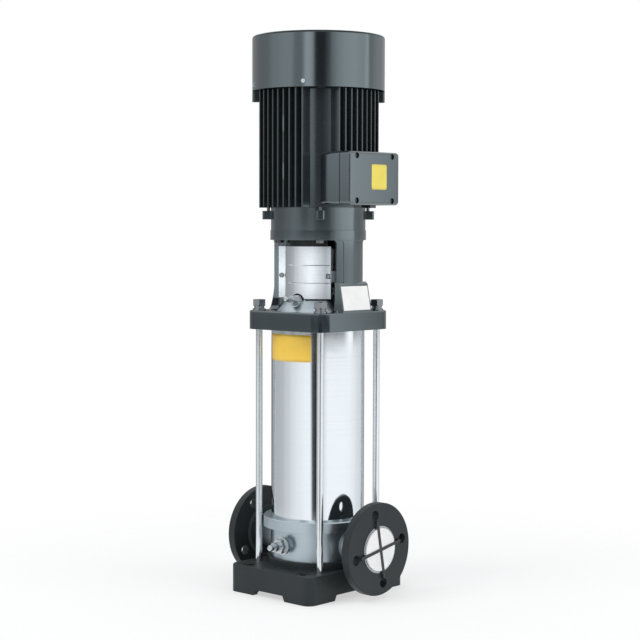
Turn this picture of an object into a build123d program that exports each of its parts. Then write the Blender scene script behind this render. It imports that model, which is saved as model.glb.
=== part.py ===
from build123d import *
import math
import os

# An inline vertical multistage pump: a cast foot, a stainless body with two loose flanges, a stack of
# impeller stages in a polished sleeve, four tie rods, a cast motor stool and a finned motor on top.
# Millimetres. The origin is the centre of the foot's underside, +Z is up the shaft,
# +X points out of the discharge port and -Y is the side with the vent and drain plugs.

os.makedirs("parts", exist_ok=True)

# Fits
slip = 0.05                 # radial clearance of a turning shaft, plug or ring in its bore
seat_gap = 0.3              # gap round a loose piece
bond = 0.02                 # radial gap between two fixed round pieces

# Foot
foot_x = 199.0
foot_y = 256.0
foot_height = 50.0
foot_corner = 16.0
foot_wall = 11.0
foot_roof = 13.0
foot_edge_round = 3.0
foot_bolt_x = 130.0         # spacing of the foundation bolts
foot_bolt_y = 215.0
foot_bolt_r = 7.0
foot_boss_r = 15.0
foot_spot_r = 12.5          # machined spot round each foundation bolt hole
foot_spot_depth = 1.0
arch_half_x = 39.0          # half-lengths of the low arches between the corner feet
arch_half_y = 62.0
arch_height = 10.0
arch_slope = 5.0
socket_wall = 6.5           # raised ring that locates the pump body
socket_height = 12.0
rod_boss_r = 13.0
rod_boss_depth = 24.0
rod_entry = 20.0            # how far the rods go into the foot

# Pump body and ports
body_r = 85.0
body_wall = 4.0
port_height = 90.0
face_to_face = 300.0
pipe_r = 28.5
pipe_wall = 2.5
rim_r = 99.0
rim_low = 117.0
rim_top = 136.0
rim_chamfer = 1.5
eye_tube_r = 44.0           # tube that leads the suction up to the first stage
eye_tube_wall = 2.5
eye_tube_drop = 7.0         # its top below the rim's top
collar_r = 42.0
collar_thickness = 6.0
flange_r = 82.5
flange_thickness = 16.0
flange_recess = 1.0         # flange face behind the collar's face
flange_pcd = 125.0
flange_hole_r = 9.0
flange_hole_count = 4
flange_edge_round = 1.5
suction_turn = 30.0         # how far each loose flange stands turned
discharge_turn = 10.5
flange_hub_r = 47.0
flange_hub_length = 5.0
flange_hub_slope = 3.0

# Port cap of the discharge flange
cap_r = 38.0
cap_thickness = 2.5
cap_plug_length = 8.0
cap_plug_wall = 2.0
strap_width = 5.5
strap_thickness = 1.2
strap_foot = 4.0
strap_clear = 0.5           # between a strap's end and the bolt holes

# Sleeve and stages
sleeve_r = 84.5
sleeve_wall = 2.0
sleeve_entry = 5.0          # how far the sleeve goes into the rim and into the head
seal_ring_height = 3.0
stage_count = 6
stage_pitch = 54.0
stack_rise = 10.0           # start of the first stage above the rim
sleeve_rise = 10.0          # sleeve's end above the last stage
chamber_r = 68.0
chamber_wall = 1.8
chamber_floor = 2.0
guide_thickness = 3.0       # dished plate and spokes under the first stage
guide_rim_height = 6.0
diaphragm_z = 30.0          # heights inside one stage
diaphragm_r = 58.0
return_vane_count = 5
return_vane_thickness = 2.0
return_vane_sweep = -40.0
bush_r = 15.0
bush_below = 2.0
bush_above = 6.0
impeller_r = 60.0
neck_r = 29.0
neck_wall = 2.0
neck_gap = 0.3
neck_low = 0.5
front_shroud_drop = 6.0     # fall of the front shroud from its rim to the neck
impeller_hub_r = 11.0
shroud_thickness = 1.6
vane_low = 13.0
vane_high = 25.0
vane_count = 6
vane_thickness = 1.8
vane_sweep = 55.0

# Shafts and seal
pump_shaft_r = 8.0
guide_hub_r = 14.0
guide_hub_height = 12.0
shaft_collar_height = 4.0
shaft_gap = 10.0            # between the ends of the two shafts inside the coupling
seal_r = 19.0
seal_height = 12.0
seat_ring_height = 10.0
neck_bore_r = 22.0

# Stainless head and its dome
head_inset = 1.0            # head's lower face above the stool's
head_rim_thickness = 11.0
head_rim_r = 87.7
dome_r = 77.6
dome_wall = 4.0
dome_shoulder_r = 55.0
dome_rise = 45.0            # shoulder above the head's lower face
dome_top_r = 28.0
dome_waist = 8.0            # straight part above the head's rim
dome_shoulder_rise = 11.0
dome_crown = 5.0
dome_neck_height = 24.0
lug_width = 10.0

# Motor stool
plate_half = 95.8
plate_corner = 28.0
plate_thickness = 33.5
plate_edge_round = 2.5
column_r = 84.5
column_wall = 9.0
column_half_angle = 24.5
column_height = 127.3
column_foot_round = 9.0
column_top_round = 7.0
column_rib_r = 85.7         # raised middle strip of each column
column_rib_half_angle = 14.9
column_flare_r = 93.0       # outer radius of the columns' feet
column_flare_waist = 3.0
column_flare_height = 42.0
stool_ring_r = 86.6
stool_ring_height = 17.6
stool_bore_r = 57.0
skirt_bore_r = 52.0         # collar that hangs below the motor down to the guards
skirt_low = 112.5           # above the plate
spigot_r = 60.0
spigot_height = 5.0
pad_width = 76.0            # inclined pad for the name plate on the discharge side
pad_top_x = 86.0
pad_bottom_x = 95.5
pad_height = 49.0
pad_bevel = 4.0
plate_width = 70.0
plate_height = 43.0
name_plate_thickness = 0.8

# Tie rods
rod_r = 6.0
rod_place = 75.4
rod_hole_r = 6.75
washer_r = 12.0
washer_thickness = 3.0
spring_washer_r = 9.4
spring_washer_thickness = 5.0
nut_flats = 22.0
nut_height = 11.6
nut_chamfer = 1.5
nut_turn = 15.0

# Coupling and its guards
coupling_r = 32.0
coupling_height = 60.0
coupling_rise = 57.5        # its bottom above the stool plate
coupling_slit = 2.0
split_share = 0.42          # where the shafts meet, as a share of the coupling's height
clamp_shares = (0.22, 0.78) # the same for the rows of clamp screws
clamp_place = 22.5
clamp_r = 3.5
clamp_head_r = 6.0
clamp_head_height = 5.0
clamp_spot = 15.0
guard_r = 60.0
guard_sheet = 1.2
guard_low = 22.5            # above the stool plate
guard_height = 93.5
guard_flap_r = 73.5
guard_half_angle = 61.0
guard_flap_angle = 29.2     # from the X axis
guard_groove_depth = 0.5
guard_groove_width = 1.6
guard_grooves = (28.0, 60.0)
guard_notch_r = 14.5
guard_screw_z = 63.0
guard_screw_r = 2.5
guard_screw_head_r = 4.5
guard_screw_head = 2.5
guard_lug_r = 62.0
guard_lug_height = 20.0
guard_lug_depth = 12.0

# Vent and drain plugs
vent_tilt = 12.0
vent_seat_y = 62.0
vent_seat_rise = 17.5       # above the stool plate
plug_x = 5.0                # the vent and drain stand a little to the discharge side
vent_boss_r = 12.0
vent_collar_r = 11.0
vent_flats = 16.0
drain_z = 91.0
drain_boss_r = 12.0
drain_boss_length = 10.0
drain_collar_r = 16.0
drain_flats = 24.0
plug_bore_r = 2.6
plug_collar_length = 4.0
plug_thread_length = 9.0
vent_hex_length = 11.0
vent_neck_length = 5.0
drain_hex_length = 10.0
drain_neck_length = 12.0
bleed_stem_length = 12.0
vent_knob_r = 5.0
vent_knob_length = 11.0
drain_knob_r = 5.5
drain_knob_length = 11.0
plug_merge = 0.5

# Motor
frame_length = 208.5
frame_r = 84.0
frame_wall = 6.0
fin_tip = 105.6             # tip of each side's middle fin
fin_arc_r = 180.0           # the tips of one side lie on this arc
fin_thickness = 2.8
fin_pitch = 13.0
fins_each_side = 4          # on each side of the middle fin
corner_pad_r = 95.0
corner_angle = 45.0         # corner pads, lugs and bolts stand on the diagonals
shield_height = 40.6
shield_r = 85.5
shield_wall = 6.0
shield_lug_reach = 101.0
shield_lug_width = 15.0
shield_lug_height = 15.4
shield_lug_low = 19.2       # above the shield's foot
lug_corner_round = 4.0
shield_bolt_entry = 18.0    # into the frame
shield_bolt_place = 90.0
shield_bolt_r = 3.0
shield_bolt_head_r = 4.0
shield_bolt_head = 5.0
top_lug_reach = 119.3
top_lug_width = 16.0
top_lug_height = 19.0
top_ear_reach = 96.0
top_plate = 7.0
top_arm_width = 14.0
top_arm_height = 18.0
flange_bolt_place = 72.0
flange_bolt_r = 4.0
flange_bolt_flats = 13.0
flange_bolt_head = 5.3
flange_bolt_length = 28.0
motor_shaft_r = 14.0
lower_bearing_bore_r = 15.0
lower_bearing_r = 31.0
lower_bearing_width = 16.0
upper_bearing_bore_r = 12.5
upper_bearing_r = 26.0
upper_bearing_width = 15.0
bearing_ring_wall = 4.5
bearing_shield = 1.0
bearing_clear = 1.0         # free height beside the lower bearing, twice that over the upper
shaft_clear = 2.0           # round the motor shaft where it leaves a shield
core_shaft_r = 18.0
core_length = 105.0
core_rise = 51.0            # above the frame's lower end
stator_bore_r = 46.0
air_gap = 0.5
winding_height = 22.0
winding_outer_r = 73.0
winding_inner_r = 50.0
fan_seat_r = 11.0
fan_hub_r = 20.0
fan_disc_r = 70.0
fan_tip_r = 103.0
fan_height = 34.0
fan_disc_thickness = 3.0
fan_blade_count = 7
fan_blade_thickness = 3.0
fan_rise = 26.0             # above the frame's top
cover_r = 119.3
cover_height = 97.5
cover_sheet = 1.8
cover_round = 4.5
cover_rows = 4
cover_slot_width = 7.0
cover_slot_pitch = 17.0
cover_first_slot = 38.0
cover_sectors = 6
cover_rib_width = 10.0
cover_screw_angles = (60.0, 120.0, 240.0, 300.0)
cover_screw_rise = 9.5
cover_screw_r = 2.5
cover_screw_head_r = 3.6
cover_screw_head = 2.4
cover_screw_entry = 14.0

# Terminal box
box_half_width = 67.0
box_low = 4.0               # above the frame's lower end
box_height = 93.0
box_depth_x = 111.0
box_wall = 6.0
box_corner = 7.0
box_floor = 8.0             # wall between the motor frame and the box's hollow
gasket_thickness = 1.4
lid_thickness = 22.6
lid_wall = 6.0
lid_edge_round = 5.0
lid_screw_inset_y = 20.0
lid_screw_inset_z = 7.5
lid_screw_r = 2.5
lid_screw_head_r = 4.0
lid_screw_head = 3.5
lid_notch_r = 5.2
lid_notch_depth = 6.5
lid_post_wall = 2.5
block_width = 58.0
block_height = 30.0
block_depth = 10.0
stud_r = 2.5
stud_length = 8.0
stud_pitch = 19.0
gland_edge_gap = 1.0        # between the gland and the box's open edge
gland_flats = 20.0
gland_length = 16.0
gland_bore_r = 6.5
gland_thread_r = 8.0
gland_dome_r = 8.5
gland_entry = 10.0          # into the box

# Heights, each from the one below
foot_top = foot_height
body_floor = foot_top
socket_top = foot_top + socket_height
eye_tube_top = rim_top - eye_tube_drop
stack_low = rim_top + stack_rise
stack_top = stack_low + stage_count * stage_pitch
sleeve_low = rim_top - sleeve_entry
sleeve_high = stack_top + sleeve_rise
plate_low = sleeve_high - sleeve_entry
plate_top = plate_low + plate_thickness
head_low = plate_low + head_inset
ring_low = plate_top + column_height
ring_top = ring_low + stool_ring_height
frame_low = ring_top + shield_height
frame_top = frame_low + frame_length
cover_top = frame_top + cover_height
coupling_low = plate_top + coupling_rise
coupling_high = coupling_low + coupling_height
shaft_split = coupling_low + split_share * coupling_height
pipe_bore_r = pipe_r - pipe_wall
pipe_square = 20.0          # half a square that lies inside the pipe's round
half_face = face_to_face / 2
neck_top = head_low + dome_rise + dome_neck_height
lower_bearing_low = ring_top + shield_wall + bearing_clear
lower_bearing_top = lower_bearing_low + lower_bearing_width
upper_bearing_top = frame_top - 2 * bearing_clear
upper_bearing_low = upper_bearing_top - upper_bearing_width
core_low = frame_low + core_rise
core_top = core_low + core_length
fan_low = frame_top + fan_rise
box_middle = frame_low + box_low + box_height / 2
gland_x = box_depth_x - gland_flats / 2 - gland_edge_gap
box_pocket_x = frame_r + box_floor
nut_low = plate_top + washer_thickness + spring_washer_thickness
outer_fin = fins_each_side * fin_pitch
guard_screw_place = (guard_lug_r + guard_flap_r) / 2
guard_screw_height = plate_top + guard_screw_z
vent_place = Plane(origin=(plug_x, -vent_seat_y, plate_top + vent_seat_rise), x_dir=(1, 0, 0),
                   z_dir=(0, -math.cos(math.radians(vent_tilt)), math.sin(math.radians(vent_tilt))))
drain_place = Plane(origin=(plug_x, -body_r - drain_boss_length, drain_z), x_dir=(1, 0, 0), z_dir=(0, -1, 0))

STANDING = (Align.CENTER, Align.CENTER, Align.MIN)
AWAY = 400.0                # longer than anything that is cut


def disc(radius, low, high):
    """A round bar about the pump's axis, between two heights."""
    return Pos(0, 0, low) * Cylinder(radius, high - low, align=STANDING)


def tube(outer, inner, low, high):
    """A round tube about the pump's axis."""
    return disc(outer, low, high) - disc(inner, low - 1, high + 1)


def turned(*outline):
    """A piece turned about the pump's axis from its (radius, height) corners."""
    corners = [(radius, 0, height) for radius, height in outline]
    return revolve(make_face(Polyline(*corners, close=True)), Axis.Z)


def sector(outer, inner, low, high, middle, half_angle):
    """A slice of a tube, centred on an angle."""
    reach = 2 * outer
    wedge_half = math.radians(half_angle)
    wedge = make_face(Polyline((0, 0), (reach * math.cos(wedge_half), -reach * math.sin(wedge_half)),
                               (reach * 2, 0),
                               (reach * math.cos(wedge_half), reach * math.sin(wedge_half)), close=True))
    slab = Pos(0, 0, low) * extrude(Rot(0, 0, middle) * wedge, high - low)
    return tube(outer, inner, low, high) & slab


def hexagon(flats, low, high):
    """A hexagonal bar about the pump's axis."""
    return Pos(0, 0, low) * extrude(RegularPolygon(flats / 2, 6, major_radius=False), high - low)


def block(low_corner, high_corner):
    """A box between two opposite corners."""
    size = [high - low for low, high in zip(low_corner, high_corner)]
    return Pos(*low_corner) * Box(*size, align=(Align.MIN, Align.MIN, Align.MIN))


def bar_x(radius, x_low, x_high, z=0.0, y=0.0):
    """A round bar along X."""
    return Pos(x_low, y, z) * Rot(0, 90, 0) * Cylinder(radius, x_high - x_low, align=STANDING)


def bar_y(radius, y_low, y_high, x, z):
    """A round bar along Y."""
    return Pos(x, y_high, z) * Rot(90, 0, 0) * Cylinder(radius, y_high - y_low, align=STANDING)


def around(piece, count, start=0.0):
    """Evenly spaced copies of a piece about the pump's axis."""
    return [Rot(0, 0, start + turn * 360 / count) * piece for turn in range(count)]


def grouped(pieces):
    """Separate solids kept under one name."""
    return Compound(children=list(pieces))


def corners(half_x, half_y):
    """The four corners of a rectangle about the axis."""
    return [(sx * half_x, sy * half_y) for sx in (-1, 1) for sy in (-1, 1)]


def rounded_plate(size_x, size_y, radius, low, high):
    """A plate with rounded corners."""
    return Pos(0, 0, low) * extrude(RectangleRounded(size_x, size_y, radius), high - low)


def arch_cut(half_length, across):
    """The low gap under one pair of sides, with sloping ends, running right through along X."""
    outline = Polyline((0, -half_length, -1), (0, -half_length, 0),
                       (0, arch_slope - half_length, arch_height), (0, half_length - arch_slope, arch_height),
                       (0, half_length, 0), (0, half_length, -1), close=True)
    return Pos(-across, 0, 0) * extrude(make_face(outline), 2 * across, dir=(1, 0, 0))


def base_plate():
    """Cast foot: a hollow box on four corner feet, with bosses for the bolts and tie rods."""
    casting = rounded_plate(foot_x, foot_y, foot_corner, 0, foot_top)
    casting = fillet(casting.faces().sort_by(Axis.Z)[-1].edges(), foot_edge_round)
    hollow = rounded_plate(foot_x - 2 * foot_wall, foot_y - 2 * foot_wall, foot_corner - foot_wall / 2,
                           -1, foot_top - foot_roof)
    for x, y in corners(foot_bolt_x / 2, foot_bolt_y / 2):
        hollow -= Pos(x, y, 0) * disc(foot_boss_r, -2, foot_top)
        outer_x = math.copysign(foot_x / 2, x)
        inner_y = y - math.copysign(foot_boss_r, y)
        outer_y = math.copysign(foot_y / 2, y)
        hollow -= block((min(x, outer_x), min(inner_y, outer_y), -2),
                        (max(x, outer_x), max(inner_y, outer_y), foot_top))
    for x, y in corners(rod_place, rod_place):
        hollow -= Pos(x, y, 0) * disc(rod_boss_r, foot_top - rod_boss_depth, foot_top)
    casting -= hollow
    casting += tube(body_r + bond + socket_wall, body_r + bond, foot_top - 1, socket_top)
    casting -= disc(body_r + bond, foot_top, socket_top + 1)
    casting -= bar_x(pipe_r + seat_gap, -AWAY, AWAY, port_height)
    casting -= arch_cut(arch_half_y, foot_x)
    casting -= Rot(0, 0, 90) * arch_cut(arch_half_x, foot_y)
    for x, y in corners(foot_bolt_x / 2, foot_bolt_y / 2):
        casting -= Pos(x, y, 0) * disc(foot_bolt_r, -1, foot_top + 1)
        casting -= Pos(x, y, 0) * disc(foot_spot_r, foot_top - foot_spot_depth, foot_top + 1)
    for x, y in corners(rod_place, rod_place):
        casting -= Pos(x, y, 0) * disc(rod_r + bond, foot_top - rod_entry, foot_top + 1)
    return casting


def pump_body():
    """Stainless body welded from formed sheets, whose seams stay beside the two pipes."""
    floor = body_floor + body_wall
    inner = body_r - body_wall
    between = (eye_tube_r + inner) / 2
    eye_inner = eye_tube_r - eye_tube_wall
    low = port_height - pipe_square
    high = port_height + pipe_square
    left = bar_x(pipe_r + bond, -AWAY, 0, port_height)
    room = left + bar_x(pipe_r + bond, between, AWAY, port_height)
    room -= disc(between, 0, AWAY)
    pan = turned((0, body_floor), (body_r, body_floor), (body_r, low), (inner, low), (inner, floor), (0, floor))
    shells = tube(body_r, inner, low, high)
    shells += bar_y(drain_boss_r, -body_r - drain_boss_length, -inner + 1, plug_x, drain_z) - disc(inner, 0, AWAY)
    shells -= bar_y(drain_collar_r / 2 + bond, -AWAY, -between, plug_x, drain_z)
    shells -= room
    front = shells & block((-AWAY, -AWAY, low), (AWAY, 0, high))
    rear = shells & block((-AWAY, 0, low), (AWAY, AWAY, high))
    rim = turned((inner, high), (body_r, high), (body_r, rim_low), (rim_r, rim_low),
                 (rim_r, rim_top - rim_chamfer), (rim_r - rim_chamfer, rim_top), (sleeve_r + seat_gap, rim_top),
                 (sleeve_r + seat_gap, sleeve_low - seal_ring_height), (inner, sleeve_low - seal_ring_height))
    eye_low = tube(eye_tube_r, eye_inner, floor, low) - left
    eye_high = tube(eye_tube_r, eye_inner, high, eye_tube_top) - left
    eye_wall = tube(eye_tube_r, eye_inner, low, high) - left
    eye_rear = eye_wall & block((-eye_tube_r, pipe_square, low), (eye_tube_r, eye_tube_r, high))
    eye_back = eye_wall & block((0, -pipe_square, low), (eye_tube_r, pipe_square, high))
    suction_pipe = bar_x(pipe_r, -half_face, 0, port_height) - bar_x(pipe_bore_r, -AWAY, 1, port_height)
    suction_pipe -= disc(eye_inner, 0, AWAY)
    discharge_pipe = bar_x(pipe_r, between, half_face, port_height) - bar_x(pipe_bore_r, 0, AWAY, port_height)
    discharge_pipe -= disc(inner, 0, AWAY)
    return grouped([pan - room, front, rear, rim - room, eye_low, eye_high, eye_rear,
                    mirror(eye_rear, Plane.XZ), eye_back, suction_pipe, discharge_pipe])


def port_rings():
    """Welded collar rings on the two pipe ends, which the loose flanges pull against."""
    ring = bar_x(collar_r, half_face - collar_thickness, half_face, port_height)
    ring -= bar_x(pipe_r + bond, 0, AWAY, port_height)
    return grouped([ring, mirror(ring, Plane.YZ)])


def loose_flange(turn):
    """Loose flange on the +X port, with a hub behind and a seat for the collar in front."""
    face = half_face - flange_recess
    back = face - flange_thickness
    disc_piece = bar_x(flange_r, back, face, port_height)
    disc_piece = fillet(disc_piece.edges().filter_by(GeomType.CIRCLE), flange_edge_round)
    hub_cone = Pos(back - flange_hub_length, 0, port_height) * Rot(0, 90, 0) * Cone(
        flange_hub_r - flange_hub_slope, flange_hub_r, flange_hub_length, align=STANDING)
    flange = disc_piece + hub_cone
    flange -= bar_x(pipe_r + seat_gap, 0, AWAY, port_height)
    flange -= bar_x(collar_r + seat_gap, half_face - collar_thickness - seat_gap, AWAY, port_height)
    for number in range(flange_hole_count):
        angle = math.radians(turn + number * 360 / flange_hole_count)
        y = flange_pcd / 2 * math.cos(angle)
        z = port_height + flange_pcd / 2 * math.sin(angle)
        flange -= bar_x(flange_hole_r, back - 1, face + 1, z, y)
    return flange


def port_cap():
    """Plastic cap pushed into the discharge port for transport."""
    cap = bar_x(cap_r, half_face, half_face + cap_thickness, port_height)
    plug_r = pipe_bore_r - seat_gap
    cap += bar_x(plug_r, half_face - cap_plug_length, half_face + 1, port_height)
    cap -= bar_x(plug_r - cap_plug_wall, half_face - AWAY, half_face, port_height)
    return cap


def cap_straps():
    """Two crossed straps that hold the cap, each with its feet on the flange beside two bolt holes."""
    face = half_face - flange_recess
    low = half_face + cap_thickness
    high = low + strap_thickness
    reach = flange_pcd / 2 - flange_hole_r - strap_clear
    strap = block((low, -reach, -strap_width / 2), (high, reach, strap_width / 2))
    foot = block((face, reach - strap_foot, -strap_width / 2), (high, reach, strap_width / 2))
    strap += foot + mirror(foot, Plane.XZ)
    pair = strap + Rot(90, 0, 0) * strap
    return Pos(0, 0, port_height) * Rot(discharge_turn, 0, 0) * pair


def outer_sleeve():
    """Polished sleeve round the stages."""
    return tube(sleeve_r, sleeve_r - sleeve_wall, sleeve_low, sleeve_high)


def sleeve_seals():
    """Rubber rings under and over the sleeve's ends."""
    lower = tube(sleeve_r, sleeve_r - sleeve_wall, sleeve_low - seal_ring_height, sleeve_low)
    upper = tube(sleeve_r, sleeve_r - sleeve_wall, sleeve_high, sleeve_high + seal_ring_height)
    return grouped([lower, upper])


def suction_guide():
    """Dished plate on the eye tube, with a spider that carries the shaft's lower bush."""
    low = eye_tube_top
    inner = eye_tube_r - 2 * eye_tube_wall
    rim_inner = chamber_r - chamber_wall
    guide = turned((inner, low), (eye_tube_r, low), (chamber_r, stack_low - guide_rim_height),
                   (chamber_r, stack_low), (rim_inner, stack_low),
                   (rim_inner, stack_low - guide_rim_height + chamber_floor),
                   (eye_tube_r - 1, low + guide_thickness), (inner, low + guide_thickness))
    spoke = block((guide_hub_r - 2, -guide_thickness / 2, low),
                  (inner + 1, guide_thickness / 2, low + guide_hub_height - guide_thickness))
    hub = disc(guide_hub_r, low, low + guide_hub_height)
    guide += hub
    for arm in around(spoke, 3):
        guide += arm
    return guide - disc(pump_shaft_r + slip, low - 1, stack_low)


def swept_vane(inner_r, outer_r, sweep, thickness, low, high):
    """A curved vane: a constant-thickness strip along an arc that leans back from the eye outwards."""
    points = []
    for share in (0.0, 0.5, 1.0):
        radius = inner_r + share * (outer_r - inner_r)
        angle = math.radians(sweep * share ** 0.8)
        points.append((radius * math.cos(angle), radius * math.sin(angle)))
    strip = trace(ThreePointArc(*points), thickness)
    return Pos(0, 0, low) * extrude(strip, high - low)


def chamber():
    """One stage's chamber: a cup with a wear-ring floor and a diaphragm held by its return vanes."""
    cup = tube(chamber_r, chamber_r - chamber_wall, 0, stage_pitch)
    cup += tube(chamber_r - 1, neck_r + neck_gap, 0, chamber_floor)
    cup += tube(diaphragm_r, impeller_hub_r, diaphragm_z, diaphragm_z + chamber_floor)
    cup += tube(bush_r, impeller_hub_r, diaphragm_z - bush_below, diaphragm_z + bush_above)
    vane = swept_vane(bush_r - 1, chamber_r - chamber_wall / 2 - 1, return_vane_sweep,
                      return_vane_thickness, diaphragm_z, stage_pitch - 0.5)
    for blade in around(vane, return_vane_count):
        cup += blade
    return cup - disc(impeller_hub_r + slip, -1, stage_pitch + 1)


def impeller():
    """One closed impeller: eye neck, coned front shroud, flat back shroud and leaning vanes between."""
    back = tube(impeller_r, pump_shaft_r, vane_high, vane_high + shroud_thickness)
    hub = disc(impeller_hub_r, 0, stage_pitch)
    eye_r = neck_r - neck_wall
    shroud_low = vane_low - front_shroud_drop
    front = turned((eye_r, neck_low), (neck_r, neck_low), (neck_r, shroud_low), (impeller_r, vane_low),
                   (impeller_r, vane_low + shroud_thickness), (eye_r, shroud_low + shroud_thickness))
    vane = swept_vane(eye_r - 3, impeller_r + 3, vane_sweep, vane_thickness, 0, stage_pitch)
    trim_r = impeller_r - seat_gap
    room = turned((0, shroud_low + 1), (eye_r + 1, shroud_low + 1), (trim_r, vane_low + 0.5),
                  (trim_r, vane_high + 0.5), (0, vane_high + 0.5))
    wheel = back + hub + front
    for blade in around(vane & room, vane_count):
        wheel += blade
    return wheel - disc(pump_shaft_r + bond, -1, stage_pitch + 1)


def pump_shaft():
    """Pump shaft with the collar that clamps the impellers from below."""
    shaft = disc(pump_shaft_r, eye_tube_top - 4, shaft_split - shaft_gap / 2)
    return shaft + disc(impeller_hub_r, stack_low - shaft_collar_height, stack_low)


def pump_head():
    """Stainless head: a ring on the sleeve, a dome, and a neck that holds the shaft seal."""
    rim_up = head_low + head_rim_thickness
    shoulder = head_low + dome_rise + dome_shoulder_rise
    waist = rim_up + dome_waist
    inner_r = dome_r - dome_wall
    groove_in = sleeve_r - sleeve_wall - seat_gap
    groove_out = sleeve_r + seat_gap
    groove_top = sleeve_high + seal_ring_height
    head = turned((inner_r, head_low), (groove_in, head_low), (groove_in, groove_top),
                  (groove_out, groove_top), (groove_out, head_low), (head_rim_r, head_low),
                  (head_rim_r, rim_up), (dome_r, rim_up), (dome_r, waist),
                  (dome_r - dome_wall, plate_top), (dome_shoulder_r, shoulder),
                  (dome_top_r, shoulder + dome_crown), (dome_top_r, neck_top), (neck_bore_r, neck_top),
                  (neck_bore_r, shoulder), (dome_shoulder_r - 3, shoulder - dome_wall - 1),
                  (inner_r - dome_wall, plate_top - 3), (inner_r, waist))
    lug = block((chamber_r - 7, -lug_width / 2, stack_top), (inner_r + 1, lug_width / 2, rim_up))
    for foot in around(lug, 4, corner_angle):
        head += foot
    spot_face = disc(vent_collar_r + seat_gap, 0, vent_collar_r / 2)
    return head + vent_place * vent_boss() - vent_place * (vent_bore() + spot_face)


def vent_boss():
    """Boss on the dome that the vent plug screws into, in the plug's own frame."""
    return disc(vent_boss_r, -12, 0)


def vent_bore():
    """Bore of the vent plug's thread, in the plug's own frame."""
    return disc(vent_collar_r / 2 + bond, -20, 1)


def plug(flange_round, flats, hex_length, neck_length):
    """A hexagon plug with a sealing collar, a threaded shank behind and a bored neck in front."""
    shank = disc(flange_round / 2, -plug_thread_length, plug_merge)
    head = disc(flange_round, 0, plug_collar_length)
    head += hexagon(flats, plug_collar_length - plug_merge, plug_collar_length + hex_length)
    tip = plug_collar_length + hex_length + neck_length
    neck = disc(flats / 3, tip - neck_length - plug_merge, tip)
    return shank + head + neck - disc(plug_bore_r + slip, plug_collar_length, AWAY)


def bleed_screw(tip, knob_r, knob_length):
    """A small screw that opens the plug: a stem in the plug's neck and a rounded knob outside."""
    stem = disc(plug_bore_r, tip - bleed_stem_length, tip + 1)
    knob = disc(knob_r, tip + seat_gap, tip + seat_gap + knob_length)
    return stem + fillet(knob.edges().group_by(Axis.Z)[-1], knob_r * 0.6)


def vent_plug():
    """Vent plug on the dome."""
    return vent_place * plug(vent_collar_r, vent_flats, vent_hex_length, vent_neck_length)


def vent_screw():
    """Bleed screw of the vent plug."""
    tip = plug_collar_length + vent_hex_length + vent_neck_length
    return vent_place * bleed_screw(tip, vent_knob_r, vent_knob_length)


def drain_plug():
    """Drain plug at the foot of the pump body."""
    return drain_place * plug(drain_collar_r, drain_flats, drain_hex_length, drain_neck_length)


def drain_screw():
    """Bleed screw of the drain plug."""
    tip = plug_collar_length + drain_hex_length + drain_neck_length
    return drain_place * bleed_screw(tip, drain_knob_r, drain_knob_length)


def seal_rotor():
    """Rotating half of the shaft seal."""
    top = neck_top - seat_ring_height
    return tube(seal_r, pump_shaft_r + bond, top - seal_height, top - slip)


def seal_seat():
    """Fixed seat ring of the shaft seal, held in the head's neck."""
    return tube(neck_bore_r - bond, pump_shaft_r + seat_gap, neck_top - seat_ring_height, neck_top)


def tie_rods():
    """Four long rods from the foot to the stool plate."""
    low = foot_top - rod_entry
    high = nut_low + nut_height - nut_chamfer
    return grouped([Pos(x, y, 0) * disc(rod_r, low, high) for x, y in corners(rod_place, rod_place)])


def tie_rod_washers():
    """A flat and a spring washer under each tie-rod nut."""
    flat = tube(washer_r, rod_r + seat_gap, plate_top, plate_top + washer_thickness)
    spring = tube(spring_washer_r, rod_r + seat_gap, plate_top + washer_thickness, nut_low)
    return grouped([Pos(x, y, 0) * ring for x, y in corners(rod_place, rod_place) for ring in (flat, spring)])


def tie_rod_nuts():
    """Hexagon nuts on the tie rods."""
    high = nut_low + nut_height
    point_r = nut_flats / 2 / math.cos(math.radians(30))
    nut = hexagon(nut_flats, nut_low, high)
    nut &= turned((0, nut_low), (nut_flats / 2, nut_low), (point_r, nut_low + nut_chamfer),
                  (point_r, high - nut_chamfer), (nut_flats / 2, high), (0, high))
    nut -= disc(rod_r + bond, nut_low - 1, high + 1)
    return grouped([Pos(x, y, 0) * Rot(0, 0, nut_turn) * nut for x, y in corners(rod_place, rod_place)])


def name_plate_frame():
    """The sloping plane of the name-plate pad: middle of its face, X across and Y up the slope."""
    slope = math.atan2(pad_bottom_x - pad_top_x, pad_height)
    middle = ((pad_top_x + pad_bottom_x) / 2, 0, plate_top + pad_height / 2)
    return Plane(origin=middle, x_dir=(0, 1, 0), z_dir=(math.cos(slope), 0, math.sin(slope)))


def name_plate():
    """Blank metal plate on the sloping pad."""
    return name_plate_frame() * Box(plate_width, plate_height, name_plate_thickness, align=STANDING)


def column_side_edges(stool, height):
    """The straight radial edges of the columns' sides at one height."""
    found = []
    for edge in stool.edges().filter_by(GeomType.LINE):
        middle = edge @ 0.5
        off_axis = math.hypot(middle.X, middle.Y)
        if abs(middle.Z - height) < 0.01 and column_r - column_wall < off_axis < column_flare_r:
            found.append(edge)
    return found


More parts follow.
